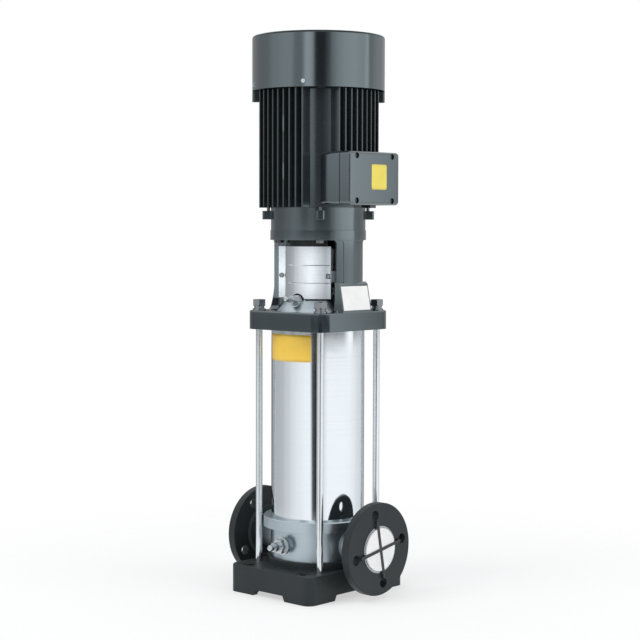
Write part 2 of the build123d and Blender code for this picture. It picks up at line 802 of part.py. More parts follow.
def column(side):
    """One shell column with a raised middle strip and a foot that flares outward."""
    inner = column_r - column_wall
    low = plate_top - 2
    body = sector(column_r, inner, low, ring_low, side, column_half_angle)
    body += sector(column_rib_r, inner, low, ring_low, side, column_rib_half_angle)
    flare_top = plate_top + column_flare_height
    profile = ThreePointArc((column_r, 0, flare_top),
                            (column_r + column_flare_waist, 0, plate_top + column_flare_height / 2),
                            (column_flare_r, 0, plate_top))
    edge = Polyline((column_flare_r, 0, plate_top), (column_flare_r, 0, low), (inner + 1, 0, low),
                    (inner + 1, 0, flare_top), (column_r, 0, flare_top))
    flare = revolve(make_face([profile, edge]), Axis.Z)
    return body + (flare & sector(2 * column_r, inner, low, ring_low, side, column_half_angle))


def motor_stool():
    """Cast stool: square head plate, two shell columns with flared feet and a ring for the motor."""
    plate = rounded_plate(2 * plate_half, 2 * plate_half, plate_corner, plate_low, plate_top)
    plate = fillet(plate.faces().sort_by(Axis.Z)[-1].edges(), plate_edge_round)
    inner = column_r - column_wall
    stool = plate + column(0) + column(180) + tube(stool_ring_r, stool_bore_r, ring_low, ring_top)
    stool = fillet(column_side_edges(stool, plate_top), column_foot_round)
    stool = fillet(column_side_edges(stool, ring_low), column_top_round)
    stool -= disc(spigot_r + bond, ring_top - spigot_height, ring_top + 1)
    stool -= disc(dome_r + seat_gap, plate_low - 1, plate_top)
    stool -= disc(head_rim_r + seat_gap, plate_low - 1, head_low + head_rim_thickness)
    pad_top = plate_top + pad_height
    side_view = Polyline((inner, 0, plate_top - 1), (pad_bottom_x, 0, plate_top - 1),
                         (pad_bottom_x, 0, plate_top), (pad_top_x, 0, pad_top),
                         (pad_top_x - pad_bevel, 0, pad_top + pad_bevel), (inner, 0, pad_top + pad_bevel),
                         close=True)
    pad = Pos(0, -pad_width / 2, 0) * extrude(make_face(side_view), pad_width, dir=(0, 1, 0))
    stool += pad - disc(inner, plate_top - 2, ring_low)
    for side in (-1, 1):
        for angle in (guard_flap_angle, 180 - guard_flap_angle):
            stool += guard_lug(side * angle)
    for x, y in corners(rod_place, rod_place):
        stool -= Pos(x, y, 0) * disc(rod_hole_r, plate_low - 1, plate_top + 1)
    hole = Pos(flange_bolt_place, 0, 0) * disc(flange_bolt_r + seat_gap, ring_low - 1, ring_top + 1)
    for cut in around(hole, 4, corner_angle):
        stool -= cut
    return stool


def guard_lug(angle):
    """Small lug inside a column's edge that takes a guard screw."""
    toward_middle = 1 if math.sin(math.radians(angle)) * math.cos(math.radians(angle)) < 0 else -1
    low = guard_screw_height - guard_lug_height / 2
    near = 0 if toward_middle > 0 else -guard_lug_depth
    lug = block((guard_lug_r, near, low),
                (column_r - column_wall + 2, near + guard_lug_depth, low + guard_lug_height))
    hole = bar_y(guard_screw_r, -AWAY, AWAY, guard_screw_place, guard_screw_height)
    return Rot(0, 0, angle) * (lug - hole)


def coupling_guard():
    """Front guard: a rolled stainless panel with two grooves, a notch over the vent and two screw flaps."""
    low = plate_top + guard_low
    high = low + guard_height
    inner = guard_r - guard_sheet
    outline = [(inner, low), (guard_r, low)]
    for groove in guard_grooves:
        outline += [(guard_r, low + groove - guard_groove_width / 2),
                    (guard_r - guard_groove_depth, low + groove),
                    (guard_r, low + groove + guard_groove_width / 2)]
    outline += [(guard_r, high), (inner, high)]
    panel = turned(*outline) & sector(guard_r + 1, inner - 1, low, high, -90, guard_half_angle)
    flap = block((inner, -guard_sheet, low), (guard_flap_r, 0, high))
    flap -= bar_y(guard_screw_r + seat_gap, -AWAY, AWAY, guard_screw_place, guard_screw_height)
    right = Rot(0, 0, -guard_flap_angle) * flap
    panel += right + mirror(right, Plane.YZ)
    notch = bar_y(guard_notch_r, -AWAY, 0, plug_x, plate_top + vent_seat_rise)
    return panel - notch


def guard_screw(angle):
    """One guard screw, through the flap into the lug."""
    shank = bar_y(guard_screw_r - bond, -guard_sheet - 1, guard_lug_depth - 2, guard_screw_place,
                  guard_screw_height)
    head = bar_y(guard_screw_head_r, -guard_sheet - guard_screw_head, -guard_sheet, guard_screw_place,
                 guard_screw_height)
    return Rot(0, 0, angle) * (shank + head)


def guard_screws():
    """Four screws that hold the two guards."""
    right = guard_screw(-guard_flap_angle)
    left = mirror(right, Plane.YZ)
    front = [right, left]
    return grouped(front + [mirror(screw, Plane.XZ) for screw in front])


def coupling_halves():
    """Split clamp coupling that joins the pump shaft to the motor shaft."""
    muff = disc(coupling_r, coupling_low, coupling_high)
    muff -= disc(pump_shaft_r + bond, coupling_low - 1, shaft_split)
    muff -= disc(motor_shaft_r + bond, shaft_split, coupling_high + 1)
    muff -= block((-AWAY, -coupling_slit / 2, 0), (AWAY, coupling_slit / 2, cover_top))
    for x, z in clamp_places():
        muff -= bar_y(clamp_r, -AWAY, AWAY, x, z)
        muff -= bar_y(clamp_head_r + seat_gap, -AWAY, -clamp_spot, x, z)
    return grouped(muff.solids())


def clamp_places():
    """X and Z of the four coupling screws."""
    places = []
    for sx in (-1, 1):
        for share in clamp_shares:
            places.append((sx * clamp_place, coupling_low + share * coupling_height))
    return places


def coupling_screws():
    """Four screws that clamp the coupling halves together."""
    screws = []
    for x, z in clamp_places():
        shank = bar_y(clamp_r - bond, -clamp_spot - 1, clamp_spot, x, z)
        head = bar_y(clamp_head_r, -clamp_spot - clamp_head_height, -clamp_spot, x, z)
        screws.append(shank + head)
    return grouped(screws)


def motor_shaft():
    """Motor shaft, stepped for the coupling, the two bearings, the rotor core and the fan."""
    low = shaft_split + shaft_gap / 2
    step = ring_top + 2
    shaft_top = fan_low + fan_height - 4
    return turned((0, low), (motor_shaft_r, low), (motor_shaft_r, step), (lower_bearing_bore_r, step),
                  (lower_bearing_bore_r, lower_bearing_top), (core_shaft_r, lower_bearing_top),
                  (core_shaft_r, upper_bearing_low), (upper_bearing_bore_r, upper_bearing_low),
                  (upper_bearing_bore_r, upper_bearing_top), (fan_seat_r, upper_bearing_top),
                  (fan_seat_r, shaft_top), (0, shaft_top))


def bearing_outer(bore, outer, low, high):
    """Outer ring of a sealed ball bearing, with its two thin side shields."""
    race = outer - bearing_ring_wall
    lip = bore + bearing_ring_wall + slip
    return turned((outer, low), (outer, high), (lip, high), (lip, high - bearing_shield),
                  (race, high - bearing_shield), (race, low + bearing_shield), (lip, low + bearing_shield),
                  (lip, low))


def bearing_outer_rings():
    """Outer rings of the two motor bearings."""
    lower = bearing_outer(lower_bearing_bore_r, lower_bearing_r, lower_bearing_low, lower_bearing_top)
    upper = bearing_outer(upper_bearing_bore_r, upper_bearing_r, upper_bearing_low, upper_bearing_top)
    return grouped([lower, upper])


def bearing_inner_rings():
    """Inner rings of the two motor bearings, on the shaft."""
    lower = tube(lower_bearing_bore_r + bearing_ring_wall, lower_bearing_bore_r + bond,
                 lower_bearing_low, lower_bearing_top)
    upper = tube(upper_bearing_bore_r + bearing_ring_wall, upper_bearing_bore_r + bond,
                 upper_bearing_low, upper_bearing_top)
    return grouped([lower, upper])


def lower_end_shield():
    """Lower end shield with bearing seat, spigot and four lugs, and the collar ring below it."""
    seat_r = lower_bearing_r + bond
    shaft_hole = lower_bearing_bore_r + shaft_clear
    spigot_low = ring_top - spigot_height + seat_gap
    frame_inner = frame_r - frame_wall
    floor = lower_bearing_low + shield_wall
    seat_top = lower_bearing_top + 1
    shield = turned((shaft_hole, spigot_low), (spigot_r, spigot_low), (spigot_r, ring_top),
                    (shield_r, ring_top), (shield_r, frame_low), (frame_inner, frame_low),
                    (frame_inner - 4, floor), (seat_r + shield_wall + 1, floor),
                    (seat_r + shield_wall, seat_top), (seat_r, seat_top), (seat_r, lower_bearing_low),
                    (shaft_hole, lower_bearing_low))
    lug_low = ring_top + shield_lug_low
    lug = block((shield_r - 6, -shield_lug_width / 2, lug_low),
                (shield_lug_reach, shield_lug_width / 2, lug_low + shield_lug_height))
    lug = fillet(lug.edges().filter_by(Axis.Z).group_by(Axis.X)[-1], lug_corner_round)
    bore = disc(shield_bolt_r + seat_gap, lug_low - 1, frame_low)
    bore += disc(shield_bolt_head_r + seat_gap, lug_low - 1, lug_low + shield_bolt_head)
    lug -= Pos(shield_bolt_place, 0, 0) * bore
    for foot in around(lug, 4, corner_angle):
        shield += foot
    hole = disc(flange_bolt_r, ring_top - 1, ring_low + flange_bolt_length + 1)
    hole = Pos(flange_bolt_place, 0, 0) * hole
    for cut in around(hole, 4, corner_angle):
        shield -= cut
    collar = tube(stool_bore_r - bond, skirt_bore_r, plate_top + skirt_low, spigot_low)
    return grouped([shield, collar])


def flange_bolts():
    """Four hexagon bolts that hold the motor down on the stool ring."""
    bolt = disc(flange_bolt_r - bond, ring_low - 0.5, ring_low + flange_bolt_length)
    bolt += hexagon(flange_bolt_flats, ring_low - flange_bolt_head, ring_low)
    bolt = Pos(flange_bolt_place, 0, 0) * bolt
    return grouped(around(bolt, 4, corner_angle))


def shield_bolts():
    """Eight bolts that hold the end shields to the frame, four at each end."""
    low = ring_top + shield_lug_low + shield_bolt_head
    lower = disc(shield_bolt_r - bond, low - 0.5, frame_low + shield_bolt_entry)
    lower += disc(shield_bolt_head_r, low - shield_bolt_head, low)
    lower = Pos(shield_bolt_place, 0, 0) * lower
    seat = frame_top + top_plate
    upper = disc(shield_bolt_r - bond, frame_top - shield_bolt_entry, seat + 1)
    upper += disc(shield_bolt_head_r, seat, seat + shield_bolt_head)
    upper = Pos(shield_bolt_place, 0, 0) * upper
    return grouped(around(lower, 4, corner_angle) + around(upper, 4, corner_angle))


def pad_sections():
    """Cross-sections of the four smooth corner pads, each between two outermost fins."""
    side = corner_pad_r - outer_fin
    middle = outer_fin + side / 2
    return [Circle(corner_pad_r) & (Pos(x, y) * Rectangle(side, side)) for x, y in corners(middle, middle)]


def corner_pads():
    """The four corner pads as solid blocks."""
    pads = Part()
    for section in pad_sections():
        pads += Pos(0, 0, frame_low) * extrude(section, frame_length)
    return pads


def fin_section():
    """Cross-section of the finned frame: barrel, straight parallel fins on four sides, corner pads."""
    reach = fin_tip - frame_r / 2
    fins = Sketch()
    for number in range(-fins_each_side, fins_each_side + 1):
        fins += Pos(frame_r / 2 + reach / 2, number * fin_pitch) * Rectangle(reach, fin_thickness)
    fins &= Pos(fin_tip - fin_arc_r, 0) * Circle(fin_arc_r)
    section = Sketch() + Circle(frame_r)
    for side in range(4):
        section += Rot(0, 0, 90 * side) * fins
    for pad in pad_sections():
        section += pad
    return section - Circle(frame_r - frame_wall)


def box_plane(x):
    """The plane across the terminal box at one distance from the axis."""
    return Plane(origin=(x, 0, box_middle), x_dir=(0, 1, 0), z_dir=(1, 0, 0))


def terminal_box_shell(low_x, high_x, grow=0.0):
    """The rounded outline of the terminal box, between two distances from the axis."""
    outline = RectangleRounded(2 * (box_half_width + grow), box_height + 2 * grow, box_corner)
    return extrude(box_plane(low_x) * outline, high_x - low_x)


def motor_frame():
    """Finned motor frame with two lugs under the fan cover and a seat for the terminal box."""
    frame = Pos(0, 0, frame_low) * extrude(fin_section(), frame_length)
    lug = block((frame_r - 2, -top_lug_width / 2, frame_top - top_lug_height),
                (top_lug_reach, top_lug_width / 2, frame_top))
    lug = fillet(lug.edges().filter_by(Axis.Z).group_by(Axis.X)[-1], lug_corner_round)
    for ear in around(lug, 2, corner_angle):
        frame += ear
    lower_hole = disc(shield_bolt_r, frame_low - 1, frame_low + shield_bolt_entry + 2)
    upper_hole = disc(shield_bolt_r, frame_top - shield_bolt_entry - 2, frame_top + 1)
    for hole in around(Pos(shield_bolt_place, 0, 0) * (lower_hole + upper_hole), 4, corner_angle):
        frame -= hole
    room = terminal_box_shell(frame_r / 2, AWAY, seat_gap)
    room += block((frame_r / 2, -box_half_width, frame_low - 1), (AWAY, box_half_width, box_middle))
    room -= disc(frame_r, frame_low - 2, frame_top)
    return frame - (room - corner_pads())


def stator_core():
    """Laminated stator core, pressed into the frame."""
    return tube(frame_r - frame_wall - bond, stator_bore_r, core_low, core_top)


def stator_windings():
    """End turns of the stator winding, below and above the core."""
    lower = tube(winding_outer_r, winding_inner_r, core_low - winding_height, core_low)
    upper = tube(winding_outer_r, winding_inner_r, core_top, core_top + winding_height)
    return grouped([lower, upper])


def rotor_core():
    """Cage rotor on the motor shaft."""
    return tube(stator_bore_r - air_gap, core_shaft_r + bond, core_low, core_top)


def upper_end_shield():
    """Upper end shield: bearing seat, plate on the frame and arms for the fan cover's screws."""
    seat_r = upper_bearing_r + bond
    shaft_hole = upper_bearing_bore_r + shaft_clear
    inner = frame_r - frame_wall
    high = frame_top + top_plate
    plate = turned((shaft_hole, frame_top), (seat_r, upper_bearing_top), (seat_r, upper_bearing_low),
                   (seat_r + shield_wall, upper_bearing_low), (seat_r + shield_wall + 1, frame_top - 4),
                   (inner - bond, frame_top - 4), (inner - bond, frame_top), (frame_r, frame_top),
                   (frame_r, high), (shaft_hole, high))
    reach = cover_r - cover_sheet
    ear = block((inner, -top_lug_width / 2, frame_top), (top_ear_reach, top_lug_width / 2, high))
    for piece in around(ear, 4, corner_angle):
        plate += piece
    hole = disc(shield_bolt_r + seat_gap, frame_top - 1, high + 1)
    for cut in around(Pos(shield_bolt_place, 0, 0) * hole, 4, corner_angle):
        plate -= cut
    arm_top = frame_top + top_arm_height
    arm = block((inner, -top_arm_width / 2, frame_top), (reach + 2, top_arm_width / 2, arm_top))
    arm &= disc(reach - bond, frame_top, arm_top)
    arm -= bar_x(cover_screw_r, frame_r, AWAY, frame_top + cover_screw_rise)
    for angle in cover_screw_angles:
        plate += Rot(0, 0, angle) * arm
    return plate


def cooling_fan():
    """Fan on the shaft's upper end: hub, disc and straight radial blades."""
    fan = tube(fan_hub_r, fan_seat_r + bond, fan_low, fan_low + fan_height)
    fan += tube(fan_disc_r, fan_seat_r + bond, fan_low, fan_low + fan_disc_thickness)
    blade = block((fan_hub_r - 2, -fan_blade_thickness / 2, fan_low),
                  (fan_tip_r, fan_blade_thickness / 2, fan_low + fan_height))
    for piece in around(blade, fan_blade_count):
        fan += piece
    return fan


def fan_cover():
    """Rounded sheet cover with rings of slots in its top."""
    inner = cover_r - cover_sheet
    shell = disc(cover_r, frame_top, cover_top)
    shell = fillet(shell.edges().group_by(Axis.Z)[-1], cover_round)
    hollow = disc(inner, frame_top - 1, cover_top - cover_sheet)
    hollow = fillet(hollow.edges().group_by(Axis.Z)[-1], cover_round - cover_sheet)
    shell -= hollow
    ribs = Sketch()
    for side in range(cover_sectors // 2):
        ribs += Rot(0, 0, side * 360 / cover_sectors) * Rectangle(2 * cover_r, cover_rib_width)
    slots = Sketch()
    for row in range(cover_rows):
        low_r = cover_first_slot + row * cover_slot_pitch
        slots += Circle(low_r + cover_slot_width) - Circle(low_r)
    slots = slots - ribs
    shell -= Pos(0, 0, cover_top - 2 * cover_sheet) * extrude(slots, 3 * cover_sheet)
    hole = bar_x(cover_screw_r + seat_gap, frame_r, AWAY, frame_top + cover_screw_rise)
    for angle in cover_screw_angles:
        shell -= Rot(0, 0, angle) * hole
    return shell


def fan_cover_screws():
    """Four screws that hold the fan cover to the upper shield's arms."""
    z = frame_top + cover_screw_rise
    screw = bar_x(cover_screw_r - bond, cover_r - cover_screw_entry, cover_r + 1, z)
    screw += bar_x(cover_screw_head_r, cover_r, cover_r + cover_screw_head, z)
    return grouped([Rot(0, 0, angle) * screw for angle in cover_screw_angles])


def lid_screw_places():
    """Y and Z of the four lid screws."""
    across = box_half_width - lid_screw_inset_y
    up = box_height / 2 - lid_screw_inset_z
    return [(y, box_middle + z) for y, z in corners(across, up)]


def terminal_box():
    """Box on the side of the motor frame, open towards its lid."""
    box = terminal_box_shell(outer_fin, box_depth_x) - disc(frame_r + bond, frame_low - 1, frame_top)
    box -= corner_pads()
    box -= pocket(box_pocket_x, box_depth_x + 1, box_wall)
    for y, z in lid_screw_places():
        boss = bar_x(lid_screw_head_r + 2, box_pocket_x - 1, box_depth_x, z, y)
        box += boss & terminal_box_shell(frame_r / 2, box_depth_x)
        box -= bar_x(lid_screw_r, box_pocket_x + 2, box_depth_x + 1, z, y)
    return box - bar_y(gland_thread_r, box_half_width - 2 * box_wall, AWAY, gland_x, box_middle)


def pocket(low_x, high_x, wall):
    """The hollow of the box or lid, with a wall left all round."""
    outline = RectangleRounded(2 * (box_half_width - wall), box_height - 2 * wall, box_corner - 3)
    return extrude(box_plane(low_x) * outline, high_x - low_x)


def terminal_gasket():
    """Rubber gasket between the box and its lid."""
    ring = terminal_box_shell(box_depth_x, box_depth_x + gasket_thickness, -1.0)
    ring -= pocket(box_depth_x - 1, box_depth_x + gasket_thickness + 1, box_wall)
    for y, z in lid_screw_places():
        ring -= bar_x(lid_screw_r + seat_gap, 0, AWAY, z, y)
    return ring


def terminal_lid():
    """Deep cast lid with its four screws sunk in round pockets."""
    low = box_depth_x + gasket_thickness
    high = low + lid_thickness
    lid = terminal_box_shell(low, high)
    lid = fillet(lid.faces().sort_by(Axis.X)[-1].edges(), lid_edge_round)
    lid -= pocket(low - 1, high - lid_wall, box_wall)
    for y, z in lid_screw_places():
        post = bar_x(lid_notch_r + lid_post_wall, low, high, z, y)
        lid += post & terminal_box_shell(low, high - lid_edge_round)
        lid -= bar_x(lid_notch_r, high - lid_notch_depth, high + 1, z, y)
        lid -= bar_x(lid_screw_r + seat_gap, 0, AWAY, z, y)
    return lid


def lid_screws():
    """Four lid screws."""
    seat = box_depth_x + gasket_thickness + lid_thickness - lid_notch_depth
    screws = []
    for y, z in lid_screw_places():
        screw = bar_x(lid_screw_r - bond, box_pocket_x + 6, seat + 1, z, y)
        screws.append(screw + bar_x(lid_screw_head_r, seat, seat + lid_screw_head, z, y))
    return grouped(screws)


def terminal_block():
    """Terminal board with six studs."""
    low = box_pocket_x
    board = block((low, -block_width / 2, box_middle - block_height / 2),
                  (low + block_depth, block_width / 2, box_middle + block_height / 2))
    for row in (-1, 1):
        for column in (-1, 0, 1):
            board += bar_x(stud_r, low + block_depth - 1, low + block_depth + stud_length,
                           box_middle + row * block_height / 4, column * stud_pitch)
    return board


def cable_gland():
    """Open cable gland on the far side of the terminal box."""
    gland = disc(gland_thread_r - bond, -gland_entry, 1) + hexagon(gland_flats, 0, gland_length / 2)
    gland += disc(gland_dome_r, gland_length / 2, gland_length)
    gland -= disc(gland_bore_r, -AWAY, AWAY)
    return Pos(gland_x, box_half_width, box_middle) * Rot(-90, 0, 0) * gland


def save(name, shape):
    """Write one piece to its own file."""
    export_step(shape, f"parts/{name}.step")


save("base_plate", base_plate())
save("pump_body", pump_body())
save("port_rings", port_rings())
save("discharge_flange", loose_flange(discharge_turn))
save("suction_flange", mirror(loose_flange(suction_turn), Plane.YZ))
save("port_cap", port_cap())
save("cap_straps", cap_straps())
save("outer_sleeve", outer_sleeve())
save("sleeve_seals", sleeve_seals())
save("suction_guide", suction_guide())
one_chamber = chamber()
one_impeller = impeller()
for stage in range(stage_count):
    lift = Pos(0, 0, stack_low + stage * stage_pitch)
    save(f"chamber_{stage + 1}", lift * one_chamber)
    save(f"impeller_{stage + 1}", lift * one_impeller)
save("pump_shaft", pump_shaft())
save("pump_head", pump_head())
save("vent_plug", vent_plug())
save("vent_screw", vent_screw())
save("drain_plug", drain_plug())
save("drain_screw", drain_screw())
save("seal_rotor", seal_rotor())
save("seal_seat", seal_seat())
save("tie_rods", tie_rods())
save("tie_rod_washers", tie_rod_washers())
save("tie_rod_nuts", tie_rod_nuts())
save("motor_stool", motor_stool())
save("name_plate", name_plate())
front_guard = coupling_guard()
save("coupling_guard_front", front_guard)
save("coupling_guard_rear", mirror(front_guard, Plane.XZ))
save("guard_screws", guard_screws())
save("coupling_halves", coupling_halves())
save("coupling_screws", coupling_screws())
save("motor_shaft", motor_shaft())
save("bearing_outer_rings", bearing_outer_rings())
save("bearing_inner_rings", bearing_inner_rings())
save("lower_end_shield", lower_end_shield())
save("flange_bolts", flange_bolts())
save("shield_bolts", shield_bolts())
save("motor_frame", motor_frame())
save("stator_core", stator_core())
save("stator_windings", stator_windings())
save("rotor_core", rotor_core())
save("upper_end_shield", upper_end_shield())
save("cooling_fan", cooling_fan())
save("fan_cover", fan_cover())
save("fan_cover_screws", fan_cover_screws())
save("terminal_box", terminal_box())
save("terminal_gasket", terminal_gasket())
save("terminal_lid", terminal_lid())
save("lid_screws", lid_screws())
save("terminal_block", terminal_block())
save("cable_gland", cable_gland())
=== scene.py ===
# %% [markdown]
# # An upright multistage pump, dressed on its CAD frame
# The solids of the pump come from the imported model, each one a named piece in metres. This lesson sets up
# the studio, gives every piece a finish, and adds two stickers and the weld beads as meshes.

# %% Load the frame
import math

import bmesh
import bpy
import numpy as np
from mathutils import Euler, Matrix, Vector


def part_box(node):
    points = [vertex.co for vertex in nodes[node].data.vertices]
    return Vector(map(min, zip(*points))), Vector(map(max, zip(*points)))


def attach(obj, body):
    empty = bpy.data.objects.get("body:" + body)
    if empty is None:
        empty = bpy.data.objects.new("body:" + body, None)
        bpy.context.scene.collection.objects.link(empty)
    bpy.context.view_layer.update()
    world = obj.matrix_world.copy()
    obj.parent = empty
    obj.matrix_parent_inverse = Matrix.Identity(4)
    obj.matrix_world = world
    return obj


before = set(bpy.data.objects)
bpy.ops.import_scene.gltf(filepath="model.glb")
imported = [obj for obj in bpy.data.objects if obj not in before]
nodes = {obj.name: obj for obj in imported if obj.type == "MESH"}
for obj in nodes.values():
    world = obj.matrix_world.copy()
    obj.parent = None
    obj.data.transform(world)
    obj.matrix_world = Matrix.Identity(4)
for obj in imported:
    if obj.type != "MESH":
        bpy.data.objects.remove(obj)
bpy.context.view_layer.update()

# %% [markdown]
# ## Camera
# The view is a product shot from about three metres away, a little above the middle of the pump and turned
# toward the corner between the vent side and the discharge flange. The camera is placed by its angle round
# the pump, its distance and its height, and is then tilted down and rolled by a hair.

# %% Camera
CAMERA_AZIMUTH = math.radians(42.77)
CAMERA_DISTANCE = 2.9932
CAMERA_HEIGHT = 0.6610
CAMERA_TILT = math.radians(3.26)
CAMERA_ROLL = math.radians(0.14)
CAMERA_YAW = math.radians(-0.07)
SENSOR_WIDTH = 36.0                     # millimetres
LENS = 92.85                            # millimetres, for a picture as wide as the sensor
FAR_END = 50                            # metres that the camera sees

camera_data = bpy.data.cameras.new("camera")
camera_data.sensor_width = SENSOR_WIDTH
camera_data.lens = LENS
camera_data.clip_end = FAR_END
camera = bpy.data.objects.new("camera", camera_data)
bpy.context.scene.collection.objects.link(camera)
camera.location = (CAMERA_DISTANCE * math.sin(CAMERA_AZIMUTH), -CAMERA_DISTANCE * math.cos(CAMERA_AZIMUTH),
                   CAMERA_HEIGHT)
aim = Euler((math.pi / 2 - CAMERA_TILT, 0, CAMERA_AZIMUTH + CAMERA_YAW)).to_matrix()
camera.rotation_euler = (aim @ Matrix.Rotation(CAMERA_ROLL, 3, "Z")).to_euler()
bpy.context.scene.camera = camera
bpy.context.scene.view_settings.view_transform = "Standard"
print("camera at", [round(value, 3) for value in camera.location])

# %% [markdown]
# ## Shader arithmetic
# A node tree is hard to read as a list of nodes and links. Here one small class wraps a socket, so that
# `1 - mask` or `mask * 0.3` adds the Math nodes by itself. Every other node comes from one method that
# takes the node's type, its settings and what goes into its sockets.

# %% Signals and shaders
class Signal:
    """The output of a node. Arithmetic on it adds Math nodes to the same tree."""

    def __init__(self, shader, socket):
        self.shader = shader
        self.socket = socket

    def apply(self, operation, first, second):
        return self.shader.node("ShaderNodeMath", {"operation": operation}, {0: first, 1: second})

    def __add__(self, other):
        return self.apply("ADD", self, other)

    __radd__ = __add__

    def __sub__(self, other):
        return self.apply("SUBTRACT", self, other)

    def __rsub__(self, other):
        return self.apply("SUBTRACT", other, self)

    def __mul__(self, other):
        return self.apply("MULTIPLY", self, other)

    __rmul__ = __mul__

    def between(self, low, high):
        """0 at low, 1 at high, held outside."""
        return self.shader.node("ShaderNodeMapRange", {}, {0: self, 1: low, 2: high})


class Shader:
    """The node tree of a material or a world."""

    def __init__(self, owner):
        owner.use_nodes = True
        self.tree = owner.node_tree
        self.tree.nodes.clear()

    def node(self, kind, settings=None, sockets=None, out=0):
        """Any node: its settings are set first, then its sockets get values or links."""
        made = self.tree.nodes.new(kind)
        for name, value in (settings or {}).items():
            if name == "stops":
                self.set_stops(made.color_ramp, value)
            else:
                setattr(made, name, value)
        for name, value in (sockets or {}).items():
            self.feed(made.inputs[name], value)
        return Signal(self, made.outputs[out]) if made.outputs else None

    def set_stops(self, ramp, stops):
        ramp.interpolation = "EASE"
        while len(ramp.elements) < len(stops):
            ramp.elements.new(1.0)
        for element, (position, level) in zip(ramp.elements, stops):
            element.position = position
            element.color = (level, level, level, 1.0)

    def feed(self, socket, value):
        if isinstance(value, Signal):
            self.tree.links.new(value.socket, socket)
        elif isinstance(value, tuple) and len(value) == 3 and socket.type == "RGBA":
            socket.default_value = (*value, 1.0)
        else:
            socket.default_value = value

    def mix(self, share, first, second):
        """A colour between two colours."""
        return self.node("ShaderNodeMix", {"data_type": "RGBA"}, {0: share, 6: first, 7: second}, out=2)

    def noise(self, where, scale, detail=3.0, roughness=0.55):
        """Cloudy noise from 0 to 1 around 0.5."""
        return self.node("ShaderNodeTexNoise", {}, {"Vector": where, "Scale": scale, "Detail": detail,
                                                    "Roughness": roughness})

    def place(self):
        """The point on the object in its own coordinates."""
        return self.node("ShaderNodeTexCoord", out="Object")

    def part(self, vector, axis):
        """One coordinate of a vector."""
        return self.node("ShaderNodeSeparateXYZ", {}, {0: vector}, out=axis)

    def measure(self, operation, *vectors):
        """A number from vectors: DOT_PRODUCT of two, or LENGTH of one."""
        return self.node("ShaderNodeVectorMath", {"operation": operation}, dict(enumerate(vectors)),
                         out="Value")

    def from_axis(self, where):
        """How far a place is from the pump's axis."""
        flat = self.node("ShaderNodeVectorMath", {"operation": "MULTIPLY"}, {0: where, 1: (1, 1, 0)})
        return self.measure("LENGTH", flat)

    def relief(self, height, depth, **more):
        """A bumpy normal from a height between 0 and 1 and its depth in metres."""
        return self.node("ShaderNodeBump", {}, {"Strength": 1.0, "Distance": depth, "Height": height, **more})

    def sees_paper(self):
        """1 for a ray that looks at the white paper: from the camera, or by way of metal or glass."""
        looks = [self.node("ShaderNodeLightPath", out=kind)
                 for kind in ("Is Camera Ray", "Is Glossy Ray", "Is Transmission Ray")]
        return looks[0] + looks[1] + looks[2]

    def surface(self, **sockets):
        """A Principled surface as the material's output; keyword names use _ for a space."""
        named = {name.replace("_", " "): value for name, value in sockets.items()}
        finish = self.node("ShaderNodeBsdfPrincipled", {}, named)
        self.node("ShaderNodeOutputMaterial", {}, {"Surface": finish})


def shade(colour, amount):
    """A colour made lighter or darker by a factor."""
    return tuple(min(1.0, part * amount) for part in colour)


print("shader helpers ready")

# %% [markdown]
# ## Meshes from grids
# The wall, the floor and the added pieces are surfaces on a grid: numpy works out the points, and the faces
# join each point to its neighbours in the next row and column.

# %% Grid helpers
DOUBLES = 1e-6                          # points closer than this are one


def grid_mesh(name, points, wrap_rows=False, wrap_columns=False):
    """A mesh on a grid of points. A wrapped direction joins its last line to its first."""
    index = np.arange(points.shape[0] * points.shape[1]).reshape(points.shape[:2])
    if wrap_rows:
        index = np.vstack([index, index[:1]])
    if wrap_columns:
        index = np.hstack([index, index[:, :1]])
    quads = np.stack([index[:-1, :-1], index[1:, :-1], index[1:, 1:], index[:-1, 1:]], axis=-1)
    mesh = bpy.data.meshes.new(name)
    mesh.from_pydata(points.reshape(-1, 3).tolist(), [], quads.reshape(-1, 4).tolist())
    return mesh


def finished(name, mesh, material):
    """An object for a mesh: doubles merged, normals outward, smooth, one material."""
    work = bmesh.new()
    work.from_mesh(mesh)
    bmesh.ops.remove_doubles(work, verts=work.verts, dist=DOUBLES)
    bmesh.ops.recalc_face_normals(work, faces=work.faces)
    work.to_mesh(mesh)
    work.free()
    mesh.shade_smooth()
    mesh.materials.append(material)
    piece = bpy.data.objects.new(name, mesh)
    bpy.context.scene.collection.objects.link(piece)
    return piece


print("points closer than", DOUBLES, "m are merged")

# %% [markdown]
# ## Studio
# The set is a white room. The world is its paper: white where it is seen, directly or in metal, and a plain
# soft light for everything matt. Shiny things would look flat in it, so a photographer hangs grey and black
# cards round the set. They can be read off the pump: black cards at the camera, bright screens on both sides
# of them, and dimmer ones toward the back. One round wall stands for all of them. Only reflections see it.
# Its brightness depends on the compass direction and on the height, because each part of the pump mirrors its
# own strip of the wall: a point at height z shows the strip near z + 1.7 (z - camera height). From below, the
# strips belong to the sleeve, the stool's plate, the guards, the stool's ring, and the motor.

# %% World
ROOM_LIGHT = 0.80                       # on matt surfaces, from all round
WHITE = (1.0, 1.0, 1.0)
COOL_WHITE = (0.97, 0.985, 1.0)

world = bpy.data.worlds.new("studio")
bpy.context.scene.world = world
studio = Shader(world)
room = studio.node("ShaderNodeBackground", {}, {"Color": COOL_WHITE, "Strength": ROOM_LIGHT})
paper = studio.node("ShaderNodeBackground", {}, {"Color": WHITE, "Strength": 1.0})
either = studio.node("ShaderNodeMixShader", {}, {0: studio.sees_paper(), 1: room, 2: paper})
studio.node("ShaderNodeOutputWorld", {}, {"Surface": either})
print("room light:", ROOM_LIGHT)

